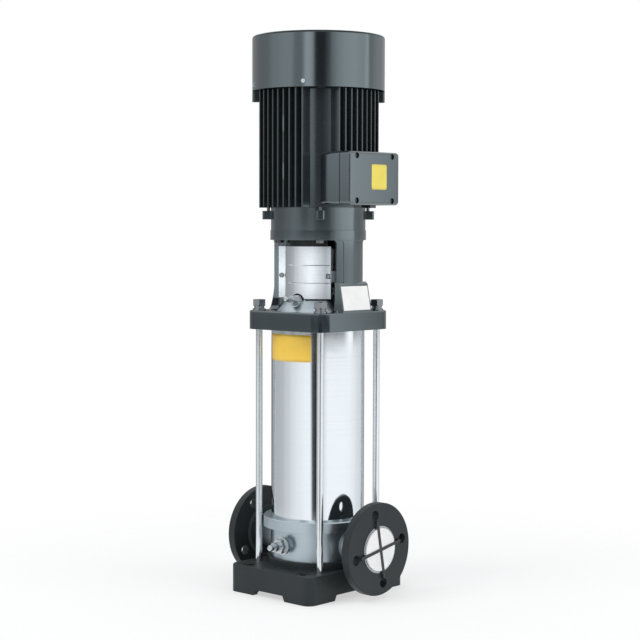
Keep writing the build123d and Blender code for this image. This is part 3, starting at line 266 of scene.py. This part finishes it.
# %% Cards
WALL_RADIUS = 5.0
WALL_HEIGHTS = (-1.5, 3.0)
WALL_SIDES = 72
BRIGHTEST = 2.0                         # level of a card that a ramp shows as 1
STRIP_BLENDS = (                        # heights between which each strip gives way to the next
    (0.09, 0.15), (0.26, 0.32), (0.56, 0.60), (0.76, 0.90),
)
CARD_LEVELS = [                         # degrees to the right of the camera's direction, then the strips
    (-180, 0.06, 0.15, 0.15, 0.15, 0.20), (-160, 0.12, 0.25, 0.30, 0.30, 0.40),
    (-146, 0.43, 0.34, 0.42, 0.38, 0.44), (-120, 0.52, 0.30, 0.50, 0.30, 0.46),
    (-100, 0.56, 0.22, 0.62, 0.34, 0.56), (-80, 0.70, 0.30, 0.92, 0.44, 0.90),
    (-60, 0.87, 0.06, 1.20, 0.56, 1.08), (-48, 0.95, 0.03, 1.40, 0.36, 1.10),
    (-38, 1.00, 0.03, 1.55, 0.12, 0.66), (-30, 1.04, 0.03, 1.60, 0.02, 0.66),
    (-19, 1.06, 0.03, 1.55, 0.02, 1.70), (-12, 0.08, 0.03, 1.45, 0.02, 1.50),
    (-4, 0.03, 0.03, 1.32, 0.02, 0.03), (9, 0.03, 0.03, 1.12, 0.02, 0.03),
    (17, 0.95, 0.03, 0.95, 0.02, 0.28), (25, 1.08, 0.03, 0.80, 0.04, 0.82),
    (34, 1.08, 0.03, 0.70, 0.50, 1.15), (46, 1.08, 0.03, 0.80, 1.15, 1.38),
    (62, 1.08, 0.08, 0.90, 1.62, 1.45), (84, 1.05, 1.15, 1.05, 1.75, 1.22),
    (93, 1.00, 1.10, 0.95, 1.60, 1.62), (98, 0.97, 0.30, 0.75, 0.62, 0.62),
    (118, 0.84, 0.45, 0.60, 0.46, 0.74), (142, 0.66, 0.45, 0.55, 0.42, 0.56),
    (163, 0.30, 0.30, 0.40, 0.40, 0.50), (180, 0.06, 0.15, 0.15, 0.15, 0.20),
]


def card_level(shader, where):
    """Brightness by direction, atan2(to the right, to the camera), in each strip, blended by height."""
    to_right = (math.cos(CAMERA_AZIMUTH), math.sin(CAMERA_AZIMUTH), 0)
    to_camera = (math.sin(CAMERA_AZIMUTH), -math.cos(CAMERA_AZIMUTH), 0)
    turn = shader.node("ShaderNodeMath", {"operation": "ARCTAN2"},
                       {0: shader.measure("DOT_PRODUCT", where, to_right),
                        1: shader.measure("DOT_PRODUCT", where, to_camera)})
    share = turn * (1 / (2 * math.pi)) + 0.5
    strips = []
    for column in range(len(STRIP_BLENDS) + 1):
        stops = [((angle + 180) / 360, levels[column] / BRIGHTEST) for angle, *levels in CARD_LEVELS]
        strips.append(shader.node("ShaderNodeValToRGB", {"stops": stops}, {"Fac": share}))
    height = shader.part(where, "Z")
    level = strips[0]
    for above, (start, end) in zip(strips[1:], STRIP_BLENDS):
        level = level + (above - level) * height.between(start, end)
    return level * BRIGHTEST


cards = bpy.data.materials.new("cards")
screen = Shader(cards)
glow = screen.node("ShaderNodeEmission", {}, {"Color": COOL_WHITE,
                                              "Strength": card_level(screen, screen.place())})
screen.node("ShaderNodeOutputMaterial", {}, {"Surface": glow})
compass = np.linspace(0, 2 * math.pi, WALL_SIDES, endpoint=False)
# At angle a the wall is at x = r cos a, y = r sin a, once for each height.
wall_points = np.stack([np.stack([WALL_RADIUS * np.cos(compass), WALL_RADIUS * np.sin(compass),
                                  np.full(len(compass), height)], axis=-1) for height in WALL_HEIGHTS])
wall = finished("card_wall", grid_mesh("card_wall", wall_points, wrap_columns=True), cards)
wall.visible_camera = False
wall.visible_diffuse = False
wall.visible_transmission = False
wall.visible_shadow = False
print("card wall:", WALL_RADIUS, "m")

# %% [markdown]
# ## Lamps and floor
# One large soft lamp from above and the left, and a weaker one from the right, give the pump its shadow on
# the floor and some shape from top to bottom. The floor is the same white paper: about half of its brightness
# is its own, so that the shadow on it stays faint, and it fades out into the world with no horizon.

# %% Lamps
LAMP_AIM = Vector((0, 0, 0.45))


def soft_lamp(name, azimuth, height, distance, size, watts):
    """A square lamp that looks at the pump, by compass angle, height and distance from the axis."""
    data = bpy.data.lights.new(name, "AREA")
    data.size = size
    data.energy = watts
    lamp = bpy.data.objects.new(name, data)
    bpy.context.scene.collection.objects.link(lamp)
    angle = math.radians(azimuth)
    lamp.location = (distance * math.sin(angle), -distance * math.cos(angle), height)
    lamp.rotation_euler = (LAMP_AIM - lamp.location).to_track_quat("-Z", "Y").to_euler()
    lamp.visible_glossy = False


soft_lamp("lamp_left", azimuth=-20, height=2.6, distance=2.2, size=1.4, watts=26)
soft_lamp("lamp_right", azimuth=110, height=2.0, distance=2.4, size=1.6, watts=16)
print("lamps aim at height", LAMP_AIM.z)

# %% Floor
FLOOR_RADIUS = 1.6
FLOOR_SOLID = 0.35                      # radius up to which the floor is solid
FLOOR_GONE = 0.96                       # radius from which it can't be seen
FLOOR_DROP = 0.0004                     # below the pump's foot
FLOOR_GLOW = 0.55                       # share of the white that is the paper's own
FLOOR_TONE = (0.93, 0.93, 0.93)
FLOOR_RINGS = 25
FLOOR_SIDES = 96
rings = np.linspace(0.0, 1.0, FLOOR_RINGS)
turns = np.linspace(0, 2 * math.pi, FLOOR_SIDES, endpoint=False)
# On ring s at angle a the floor is at x = s r cos a, y = s r sin a.
floor_points = np.stack([np.outer(rings, np.cos(turns)) * FLOOR_RADIUS,
                         np.outer(rings, np.sin(turns)) * FLOOR_RADIUS,
                         np.full((len(rings), len(turns)), -FLOOR_DROP)], axis=-1)
floor_material = bpy.data.materials.new("pale_floor")
sheet = Shader(floor_material)
fade = sheet.measure("LENGTH", sheet.place()).between(FLOOR_SOLID, FLOOR_GONE)
lit = sheet.node("ShaderNodeBsdfDiffuse", {}, {"Color": FLOOR_TONE})
glow = sheet.node("ShaderNodeEmission", {}, {"Color": WHITE, "Strength": 1.0})
pale = sheet.node("ShaderNodeMixShader", {}, {0: sheet.sees_paper() * FLOOR_GLOW, 1: lit, 2: glow})
clear = sheet.node("ShaderNodeBsdfTransparent")
faded = sheet.node("ShaderNodeMixShader", {}, {0: fade, 1: pale, 2: clear})
sheet.node("ShaderNodeOutputMaterial", {}, {"Surface": faded})
floor = finished("floor", grid_mesh("floor", floor_points, wrap_columns=True), floor_material)
print("floor:", FLOOR_RADIUS, "m")

# %% [markdown]
# ## Smooth turned surfaces
# A CAD node arrives as loose triangles. A small Geometry Nodes modifier joins them, shades them smooth and
# keeps each edge sharp where two faces meet at more than 30 degrees, so that the sleeve mirrors cleanly.
# Smooth shading alone would tilt the rim of a flat face that ends in a rounding, and the face would mirror
# the wrong card. So a second modifier weighs the normals by the area of the faces.

# %% Soft shading
SHARP_ANGLE = math.radians(30)
JOIN_DISTANCE = 2e-6


def soft_shading_group():
    """Joins the triangles, then smooth faces with sharp edges above an angle."""
    group = bpy.data.node_groups.new("soft_shading", "GeometryNodeTree")
    group.interface.new_socket("Geometry", in_out="INPUT", socket_type="NodeSocketGeometry")
    group.interface.new_socket("Geometry", in_out="OUTPUT", socket_type="NodeSocketGeometry")
    enter = group.nodes.new("NodeGroupInput")
    leave = group.nodes.new("NodeGroupOutput")
    drop = group.nodes.new("GeometryNodeRemoveAttribute")
    drop.inputs["Name"].default_value = "custom_normal"
    join = group.nodes.new("GeometryNodeMergeByDistance")
    join.inputs["Distance"].default_value = JOIN_DISTANCE
    faces = group.nodes.new("GeometryNodeSetShadeSmooth")
    edges = group.nodes.new("GeometryNodeSetShadeSmooth")
    edges.domain = "EDGE"
    edges.inputs["Shade Smooth"].default_value = False
    angle = group.nodes.new("GeometryNodeInputMeshEdgeAngle")
    sharp = group.nodes.new("FunctionNodeCompare")
    sharp.inputs["B"].default_value = SHARP_ANGLE
    link = group.links.new
    link(enter.outputs[0], drop.inputs["Geometry"])
    link(drop.outputs[0], join.inputs["Geometry"])
    link(join.outputs[0], faces.inputs["Geometry"])
    link(faces.outputs[0], edges.inputs["Geometry"])
    link(angle.outputs["Unsigned Angle"], sharp.inputs["A"])
    link(sharp.outputs[0], edges.inputs["Selection"])
    link(edges.outputs[0], leave.inputs[0])
    return group


soft_shading = soft_shading_group()
for node in nodes.values():
    node.modifiers.new("soft_shading", "NODES").node_group = soft_shading
    flats = node.modifiers.new("flat_faces_stay_flat", "WEIGHTED_NORMAL")
    flats.mode = "FACE_AREA"
    flats.keep_sharp = True
print("sharp above", round(math.degrees(SHARP_ANGLE)), "degrees")

# %% [markdown]
# ## Enamel
# The castings and the fan cover wear one slate enamel: nearly black by itself, and read mostly by what it
# mirrors. It is thick on castings, where the sand of the mould shows through as a fine grain, and smooth on
# sheet. Real roundings on every edge would cost many triangles, so a Bevel node rounds them in the shading
# and also shows where an edge is, for the lighter worn spots. The fan cover's inlet side, the faces that
# look up, is painted flat black as a painted dark reflection; the throat between stool and motor is painted
# flat black as painted shade; and one fin of the motor has two lighter patches at its tip.

# %% Enamel finishes
BEVEL_SAMPLES = 4                       # rays that find an edge to round
SLATE_GLEAM = (0.76, 0.94, 1.0)         # tint of what the paint mirrors
# flat black of the painted shade in the throat and the painted dark reflection on the fan cover's top
PAINTED_SHADE_BLACK = (0.012, 0.013, 0.014)
DUST = (0.16, 0.16, 0.155)
PALER_BY = 4.0                              # how much lighter the paint is on worn edges and on the fin's two lighter patches
CHIPPED = 0.5                           # share of the worn tone on a chipped edge
DUSTY = 0.16                            # share of dust on a face that looks up
THROAT_RADIUS = (0.0572, 0.0576)        # painted shade, black within the first; enamel beyond the second
PATCH_SIDES = (0.0105, 0.0112), (0.0148, 0.0155)        # x at which a patch starts, and at which it ends
PATCH_TIP = (-0.1045, -0.1035)                          # y between which it ends behind the fin's tip
PATCH_ENDS = (
    ((0.741, 0.747), (0.768, 0.774)),
    ((0.824, 0.830), (0.851, 0.857)),
)


def enamel(name, colour, roughness, grain_size, grain_depth, edge_radius=0.0008, reach=2.25, coat=0.4,
           painted_shade=None, lighter_patches=None):
    """Paint: a cloudy dark tone, a grain of given size and depth, rounded and slightly worn edges.
    Where the painted-shade mask gives 1 it is flat black, for painted shade and painted dark reflections,
    and where the patch mask gives 1 it is lighter."""
    material = bpy.data.materials.new(name)
    paint = Shader(material)
    where = paint.place()
    clouds = paint.noise(where, scale=9.0, detail=4.0)
    grain = paint.noise(where, scale=1 / grain_size)
    rounded = paint.node("ShaderNodeBevel", {"samples": BEVEL_SAMPLES}, {"Radius": edge_radius})
    plain = paint.node("ShaderNodeNewGeometry", out="Normal")
    edges = (1 - paint.measure("DOT_PRODUCT", rounded, plain)).between(0.02, 0.25)
    chips = edges * paint.noise(where, scale=140.0, detail=4.0).between(0.50, 0.68)
    up = paint.part(plain, "Z")
    dust = up.between(0.6, 1.0) * paint.noise(where, scale=30.0, detail=5.0).between(0.3, 0.8)
    tone = paint.mix(clouds.between(0.3, 0.7), shade(colour, 0.86), shade(colour, 1.14))
    tone = paint.mix(chips * CHIPPED, tone, shade(colour, PALER_BY))
    tone = paint.mix(dust * DUSTY, tone, DUST)
    if lighter_patches:
        tone = paint.mix(lighter_patches(paint, where), tone, shade(colour, PALER_BY))
    # Painted shade: flat black metal where the mask gives 1, for shade in the throat and a dark reflection.
    black = painted_shade(paint, where, up) if painted_shade else 0.0
    tone = paint.mix(black, tone, PAINTED_SHADE_BLACK)
    dullness = roughness + clouds * 0.06 + chips * 0.15 + dust * 0.10
    paint.surface(Base_Color=tone, Metallic=black, Roughness=dullness, IOR=reach, Specular_Tint=SLATE_GLEAM,
                  Coat_Weight=coat, Coat_Roughness=roughness * 0.5,
                  Normal=paint.relief(grain, grain_depth, Normal=rounded))
    return material


def painted_dark_top(paint, where, up):
    """1 on faces that look up, where the fan cover gets a painted dark reflection."""
    return up.between(0.05, 0.30)


def painted_shade_throat(paint, where, up):
    """1 within a short distance of the pump's axis, where the throat gets painted shade."""
    return 1 - paint.from_axis(where).between(*THROAT_RADIUS)


def fin_tip_patches(paint, where):
    """1 on two short lighter patches along the tip of one fin."""
    x, y, z = (paint.part(where, axis) for axis in "XYZ")
    near, far = PATCH_SIDES
    fin = x.between(*near) * (1 - x.between(*far)) * (1 - y.between(*PATCH_TIP))
    low, high = (z.between(*start) * (1 - z.between(*end)) for start, end in PATCH_ENDS)
    return fin * (low + high)


SLATE = (0.0100, 0.0130, 0.0150)
FOOT_SLATE = (0.0250, 0.0290, 0.0305)
FIN_SLATE = (0.0230, 0.0270, 0.0295)
# After the colour: roughness, then the size and depth of the grain in metres.
sheet_enamel = enamel("sheet_enamel", SLATE, 0.13, 0.0035, 0.000006)
# The fan cover's top gets a painted dark reflection, and the throats of stool and end shields painted shade.
cover_enamel = enamel("cover_enamel", SLATE, 0.11, 0.0035, 0.000006, painted_shade=painted_dark_top)
cast_enamel = enamel("cast_enamel", SLATE, 0.10, 0.0016, 0.000008, painted_shade=painted_shade_throat)
stool_enamel = enamel("stool_enamel", SLATE, 0.055, 0.0016, 0.000003, painted_shade=painted_shade_throat)
fin_enamel = enamel("fin_enamel", FIN_SLATE, 0.14, 0.0016, 0.000010, reach=1.72, coat=0.2,
                    lighter_patches=fin_tip_patches)
foot_enamel = enamel("foot_enamel", FOOT_SLATE, 0.42, 0.0019, 0.00007, edge_radius=0.0012, reach=1.30,
                     coat=0.1)
print("enamels made")

# %% [markdown]
# ## Steel
# Steel on this pump runs from the mirror of the sleeve and rods, by way of the sheet of the guards and the
# satin of the pressed and turned body, to dull zinc and black bolts. All are metal, and differ in roughness
# and in the marks that the tool left. On turned parts the marks run round the axis. The shader's anisotropy
# could draw such a gloss out, but noise that is stretched round the axis shows the single marks as well.

# %% Steel finishes
ROUND_STRETCH = 6.0                     # how fast the marks change round the axis
STEEL_EDGE = 0.0004                     # radius of a rounded edge
MARK_SHARE = 0.35                       # share of the darker tone in the deepest marks


def ring_place(shader, across, along):
    """Coordinates that change fast with the radius and the height and slowly round the axis."""
    where = shader.place()
    return shader.node("ShaderNodeCombineXYZ", {}, {0: shader.from_axis(where) * across,
                                                    1: shader.part(where, "X") * along,
                                                    2: shader.part(where, "Z") * across})


def steel(name, colour, roughness, line_scale, line_depth, blotch=0.10, tint=None):
    """Metal: ring-wise tool marks in height and roughness, and soft blotches of tone."""
    material = bpy.data.materials.new(name)
    metal = Shader(material)
    rings = ring_place(metal, line_scale, ROUND_STRETCH)
    lines = metal.noise(rings, scale=1.0, detail=5.0, roughness=0.65)
    spots = metal.noise(metal.place(), scale=22.0, detail=5.0)
    tone = metal.mix(spots.between(0.35, 0.7), shade(colour, 1 - blotch), colour)
    tone = metal.mix(lines.between(0.55, 0.8) * MARK_SHARE, tone, tint or shade(colour, 0.82))
    dullness = roughness + lines.between(0.3, 0.7) * (roughness * 0.5) + spots.between(0.5, 0.8) * 0.04
    rounded = metal.node("ShaderNodeBevel", {"samples": BEVEL_SAMPLES}, {"Radius": STEEL_EDGE})
    metal.surface(Base_Color=tone, Metallic=1.0, Roughness=dullness,
                  Normal=metal.relief(lines, line_depth, Normal=rounded))
    return material


# After the colour: roughness, marks per metre, and the depth of a mark in metres.
mirror_steel = steel("mirror_steel", (0.82, 0.87, 0.90), 0.06, 700.0, 0.0000004, blotch=0.02)
rod_steel = steel("rod_steel", (0.78, 0.82, 0.85), 0.10, 900.0, 0.0000010, blotch=0.04)
satin_steel = steel("satin_steel", (0.50, 0.58, 0.63), 0.27, 1500.0, 0.000002, blotch=0.06)
guard_steel = steel("guard_steel", (0.66, 0.70, 0.73), 0.075, 2600.0, 0.0000004, blotch=0.04)
stage_steel = steel("stage_steel", (0.60, 0.61, 0.62), 0.30, 900.0, 0.000004)
shaft_steel = steel("shaft_steel", (0.50, 0.50, 0.50), 0.28, 2500.0, 0.000005)
zinc = steel("zinc", (0.32, 0.345, 0.36), 0.18, 3000.0, 0.000003, blotch=0.22)
dull_bolt = steel("dull_bolt", (0.20, 0.215, 0.225), 0.26, 3000.0, 0.000003, blotch=0.20)
black_bolt = steel("black_bolt", (0.085, 0.092, 0.098), 0.30, 3000.0, 0.000003, blotch=0.20)
plug_steel = steel("plug_steel", (0.62, 0.66, 0.69), 0.20, 3000.0, 0.000002, blotch=0.12)
core_steel = steel("core_steel", (0.30, 0.30, 0.31), 0.45, 2000.0, 0.00004)
collar_steel = steel("collar_steel", (0.40, 0.42, 0.44), 0.16, 2600.0, 0.000004)
print("steels made")

# %% [markdown]
# ## Plastics, rubber and copper
# The small soft parts share one recipe: a plain colour with faint clouds, a fine grain and its own gloss.
# The copper winding uses it as well, with a deeper grain, because its single wires hardly show.

# %% Moulded finishes
SOFT_REACH = 0.002                      # how far light travels inside the cap


def moulded(name, colour, roughness, grain_size, grain_depth, metallic=0.0, soft=0.0):
    """A moulded or coated part: faint clouds of tone, and a grain that only shows in the gloss."""
    material = bpy.data.materials.new(name)
    body = Shader(material)
    where = body.place()
    clouds = body.noise(where, scale=35.0, detail=4.0)
    grain = body.noise(where, scale=1 / grain_size)
    tone = body.mix(clouds.between(0.35, 0.7), shade(colour, 0.90), colour)
    body.surface(Base_Color=tone, Roughness=roughness + clouds * 0.08, Metallic=metallic,
                 Normal=body.relief(grain, grain_depth), Subsurface_Weight=soft, Subsurface_Scale=SOFT_REACH)
    return material


# After the colour: roughness, then the size and depth of the grain in metres.
white_plastic = moulded("white_plastic", (0.94, 0.945, 0.94), 0.42, 0.0012, 0.00002, soft=0.15)
black_strap = moulded("black_strap", (0.020, 0.022, 0.024), 0.40, 0.0008, 0.00002)
black_rubber = moulded("black_rubber", (0.018, 0.018, 0.018), 0.62, 0.0006, 0.00002)
seal_ring = moulded("seal_ring", (0.07, 0.07, 0.075), 0.30, 0.0005, 0.00001)
fan_plastic = moulded("fan_plastic", (0.022, 0.022, 0.023), 0.45, 0.0010, 0.00002)
board_plastic = moulded("board_plastic", (0.030, 0.030, 0.032), 0.38, 0.0008, 0.00002)
plate_face = moulded("plate_face", (0.97, 0.97, 0.96), 0.36, 0.0009, 0.000006)
copper = moulded("copper", (0.60, 0.26, 0.12), 0.35, 0.0008, 0.00020, metallic=0.9)
print("moulded finishes made")

# %% [markdown]
# ## Which piece wears what
# The pieces arrive with plain stand-in materials. Each finish lists its own pieces here, rather than each
# piece its finish, because the list then reads like the painter's and the polisher's orders. Every slot of a
# piece gets the finish.

# %% Finish for each node
STAGES = 6
finishes = {
    sheet_enamel: ["terminal_lid", "terminal_box"],
    cover_enamel: ["fan_cover"],
    cast_enamel: ["lower_end_shield", "upper_end_shield"],
    stool_enamel: ["motor_stool"],
    fin_enamel: ["motor_frame"],
    foot_enamel: ["base_plate", "suction_flange", "discharge_flange"],
    mirror_steel: ["outer_sleeve"],
    rod_steel: ["tie_rods"],
    satin_steel: ["pump_body", "pump_head"],
    guard_steel: ["coupling_guard_front", "coupling_guard_rear"],
    collar_steel: ["port_rings"],
    stage_steel: ["suction_guide"] + [f"{kind}_{stage}" for kind in ("chamber", "impeller")
                                      for stage in range(1, STAGES + 1)],
    shaft_steel: ["pump_shaft", "motor_shaft", "coupling_halves", "bearing_inner_rings",
                  "bearing_outer_rings"],
    zinc: ["tie_rod_washers", "tie_rod_nuts", "guard_screws", "coupling_screws"],
    dull_bolt: ["flange_bolts", "shield_bolts"],
    black_bolt: ["lid_screws"],
    plug_steel: ["vent_plug", "vent_screw", "drain_plug", "drain_screw", "fan_cover_screws"],
    plate_face: ["name_plate"],
    black_rubber: ["sleeve_seals", "terminal_gasket"],
    seal_ring: ["seal_rotor", "seal_seat"],
    white_plastic: ["port_cap"],
    black_strap: ["cap_straps"],
    core_steel: ["stator_core", "rotor_core"],
    copper: ["stator_windings"],
    fan_plastic: ["cooling_fan"],
    board_plastic: ["terminal_block", "cable_gland"],
}
for finish, names in finishes.items():
    for name in names:
        for slot in nodes[name].material_slots:
            slot.material = finish
covered = sum(len(names) for names in finishes.values())
print("nodes with a finish:", covered, "of", len(nodes))

# %% [markdown]
# ## Stickers
# A vinyl sticker lies round the polished sleeve under the stool, and a smaller one sits on the lid. Both are
# blank. A sticker could be a patch of colour in the steel's material, but a real one has an edge that
# catches the light. So each is a thin sheet on a grid: the one on the sleeve follows x = r cos a,
# y = r sin a, and both get their thickness from Solidify.

# %% Sticker vinyl
FILM = 0.00015                          # thickness
FILM_LIFT = 0.00003                     # gap that keeps a film off the surface below
CRINKLE = 0.00002                       # height of its waves


def vinyl(name, colour):
    """Printed film: an even colour, faintly uneven, under a clear gloss."""
    material = bpy.data.materials.new(name)
    film = Shader(material)
    where = film.place()
    clouds = film.noise(where, scale=25.0)
    tone = film.mix(clouds.between(0.3, 0.7), colour, shade(colour, 0.88))
    relief = film.relief(film.noise(where, scale=120.0, detail=2.0), CRINKLE)
    film.surface(Base_Color=tone, Roughness=0.34 + clouds * 0.08, Coat_Weight=0.5, Coat_Roughness=0.12,
                 Normal=relief)
    return material


yellow_vinyl = vinyl("yellow_vinyl", (0.94, 0.60, 0.05))
lemon_vinyl = vinyl("lemon_vinyl", (0.90, 0.74, 0.08))
print("vinyls:", yellow_vinyl.name, "and", lemon_vinyl.name)

# %% Sticker sheets
CORNER_STEPS = 6


def film_sheet(width, height, radius, columns, rows):
    """A flat sheet on a grid: columns across, rows between -h and h, with h falling to a round corner."""
    across = np.linspace(-width / 2, width / 2, columns)
    corner = radius * (1 - np.cos(np.linspace(0, math.pi / 2, CORNER_STEPS)))
    across = np.unique(np.concatenate([across, -width / 2 + corner, width / 2 - corner]))
    into = np.clip(np.abs(across) - (width / 2 - radius), 0, radius)
    half = height / 2 - radius + np.sqrt(radius ** 2 - into ** 2)
    return np.stack([np.tile(across, (rows, 1)), np.outer(np.linspace(-1, 1, rows), half)], axis=-1)


def stick(name, points, material, outward):
    """A film on a surface, growing outward."""
    piece = finished(name, grid_mesh(name, points), material)
    facing = np.array([face.normal[:] for face in piece.data.polygons]).mean(0)
    if np.dot(facing, outward) < 0:
        piece.data.flip_normals()
    solid = piece.modifiers.new("thickness", "SOLIDIFY")
    solid.thickness = FILM
    solid.offset = 1.0
    return piece


print("film:", FILM, "m thick")

# %% Sticker on the sleeve
STICKER_LOW = 0.420
STICKER_HIGH = 0.468
STICKER_HALF_ANGLE = math.radians(34.6)
STICKER_CORNER = 0.0015
low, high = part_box("outer_sleeve")
sleeve_radius = (high.x - low.x) / 2
flat = film_sheet(2 * STICKER_HALF_ANGLE * sleeve_radius, STICKER_HIGH - STICKER_LOW, STICKER_CORNER,
                  columns=64, rows=9)
round_angle = flat[..., 0] / sleeve_radius - math.pi / 2
sleeve_film = np.stack([(sleeve_radius + FILM_LIFT) * np.cos(round_angle),
                        (sleeve_radius + FILM_LIFT) * np.sin(round_angle),
                        flat[..., 1] + (STICKER_LOW + STICKER_HIGH) / 2], axis=-1)
sleeve_sticker = stick("sleeve_sticker", sleeve_film, yellow_vinyl, (0, -1, 0))
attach(sleeve_sticker, "casing")
print("sleeve sticker:", round(STICKER_HIGH - STICKER_LOW, 3), "m high")

# %% Sticker on the lid
LID_STICKER_WIDTH = 0.040
LID_STICKER_HEIGHT = 0.044
LID_STICKER_CORNER = 0.003
LID_STICKER_Y = 0.0115
LID_STICKER_Z = 0.747
low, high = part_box("terminal_lid")
flat = film_sheet(LID_STICKER_WIDTH, LID_STICKER_HEIGHT, LID_STICKER_CORNER, columns=9, rows=9)
lid_film = np.stack([np.full(flat.shape[:2], high.x + FILM_LIFT), flat[..., 0] + LID_STICKER_Y,
                     flat[..., 1] + LID_STICKER_Z], axis=-1)
lid_sticker = stick("lid_sticker", lid_film, lemon_vinyl, (1, 0, 0))
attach(lid_sticker, "casing")
print("lid sticker:", LID_STICKER_WIDTH, "by", LID_STICKER_HEIGHT, "m")

# %% [markdown]
# ## Weld beads
# The two pipes are welded to the body. A bead is a round rope with ripples, carried along the line where two
# cylinders meet: with the pipe at angle t, z = port height + p sin t, y = p cos t and
# x = sqrt(body radius squared - y squared). It is sunk halfway into both, so no cut is needed.

# %% Beads
BODY_RADIUS = 0.085
PIPE_RADIUS = 0.0285
PORT_HEIGHT = 0.090
BEAD_RADIUS = 0.0016
BEAD_RIPPLES = 60
RIPPLE_DEPTH = 0.13                     # share of the bead's radius
BEAD_SIDES = 12
BEAD_STEPS = 360


def bead(name, path, thickness, ripples, material):
    """A rope along a closed path: point = path + r (cos a out + sin a across), where out points away from the
    pump's axis, across is square to it and to the path, and r swells and shrinks like a sine."""
    ahead = np.roll(path, -1, axis=0) - np.roll(path, 1, axis=0)
    ahead /= np.linalg.norm(ahead, axis=1, keepdims=True)
    out = path * [1, 1, 0]
    out -= ahead * (out * ahead).sum(1, keepdims=True)
    out /= np.linalg.norm(out, axis=1, keepdims=True)
    across = np.cross(ahead, out)
    angle = np.linspace(0, 2 * math.pi, BEAD_SIDES, endpoint=False)
    phase = np.linspace(0, 2 * math.pi * ripples, len(path), endpoint=False)
    radius = thickness * (1 + RIPPLE_DEPTH * np.sin(phase))[:, None, None]
    outward = np.cos(angle)[None, :, None] * out[:, None]
    sideways = np.sin(angle)[None, :, None] * across[:, None]
    points = path[:, None] + (outward + sideways) * radius
    return finished(name, grid_mesh(name, points, wrap_rows=True, wrap_columns=True), material)


weld_steel = steel("weld_steel", (0.46, 0.48, 0.50), 0.34, 1200.0, 0.000010, blotch=0.25,
                   tint=(0.42, 0.36, 0.28))
turn = np.linspace(0, 2 * math.pi, BEAD_STEPS, endpoint=False)
for name, sign in (("weld_discharge", 1), ("weld_suction", -1)):
    y = PIPE_RADIUS * np.cos(turn)
    z = PORT_HEIGHT + PIPE_RADIUS * np.sin(turn)
    path = np.stack([sign * np.sqrt(BODY_RADIUS ** 2 - y ** 2), y, z], axis=-1)
    weld = bead(name, path, BEAD_RADIUS, BEAD_RIPPLES, weld_steel)
    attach(weld, "casing")
print("weld beads of radius", BEAD_RADIUS, "m")
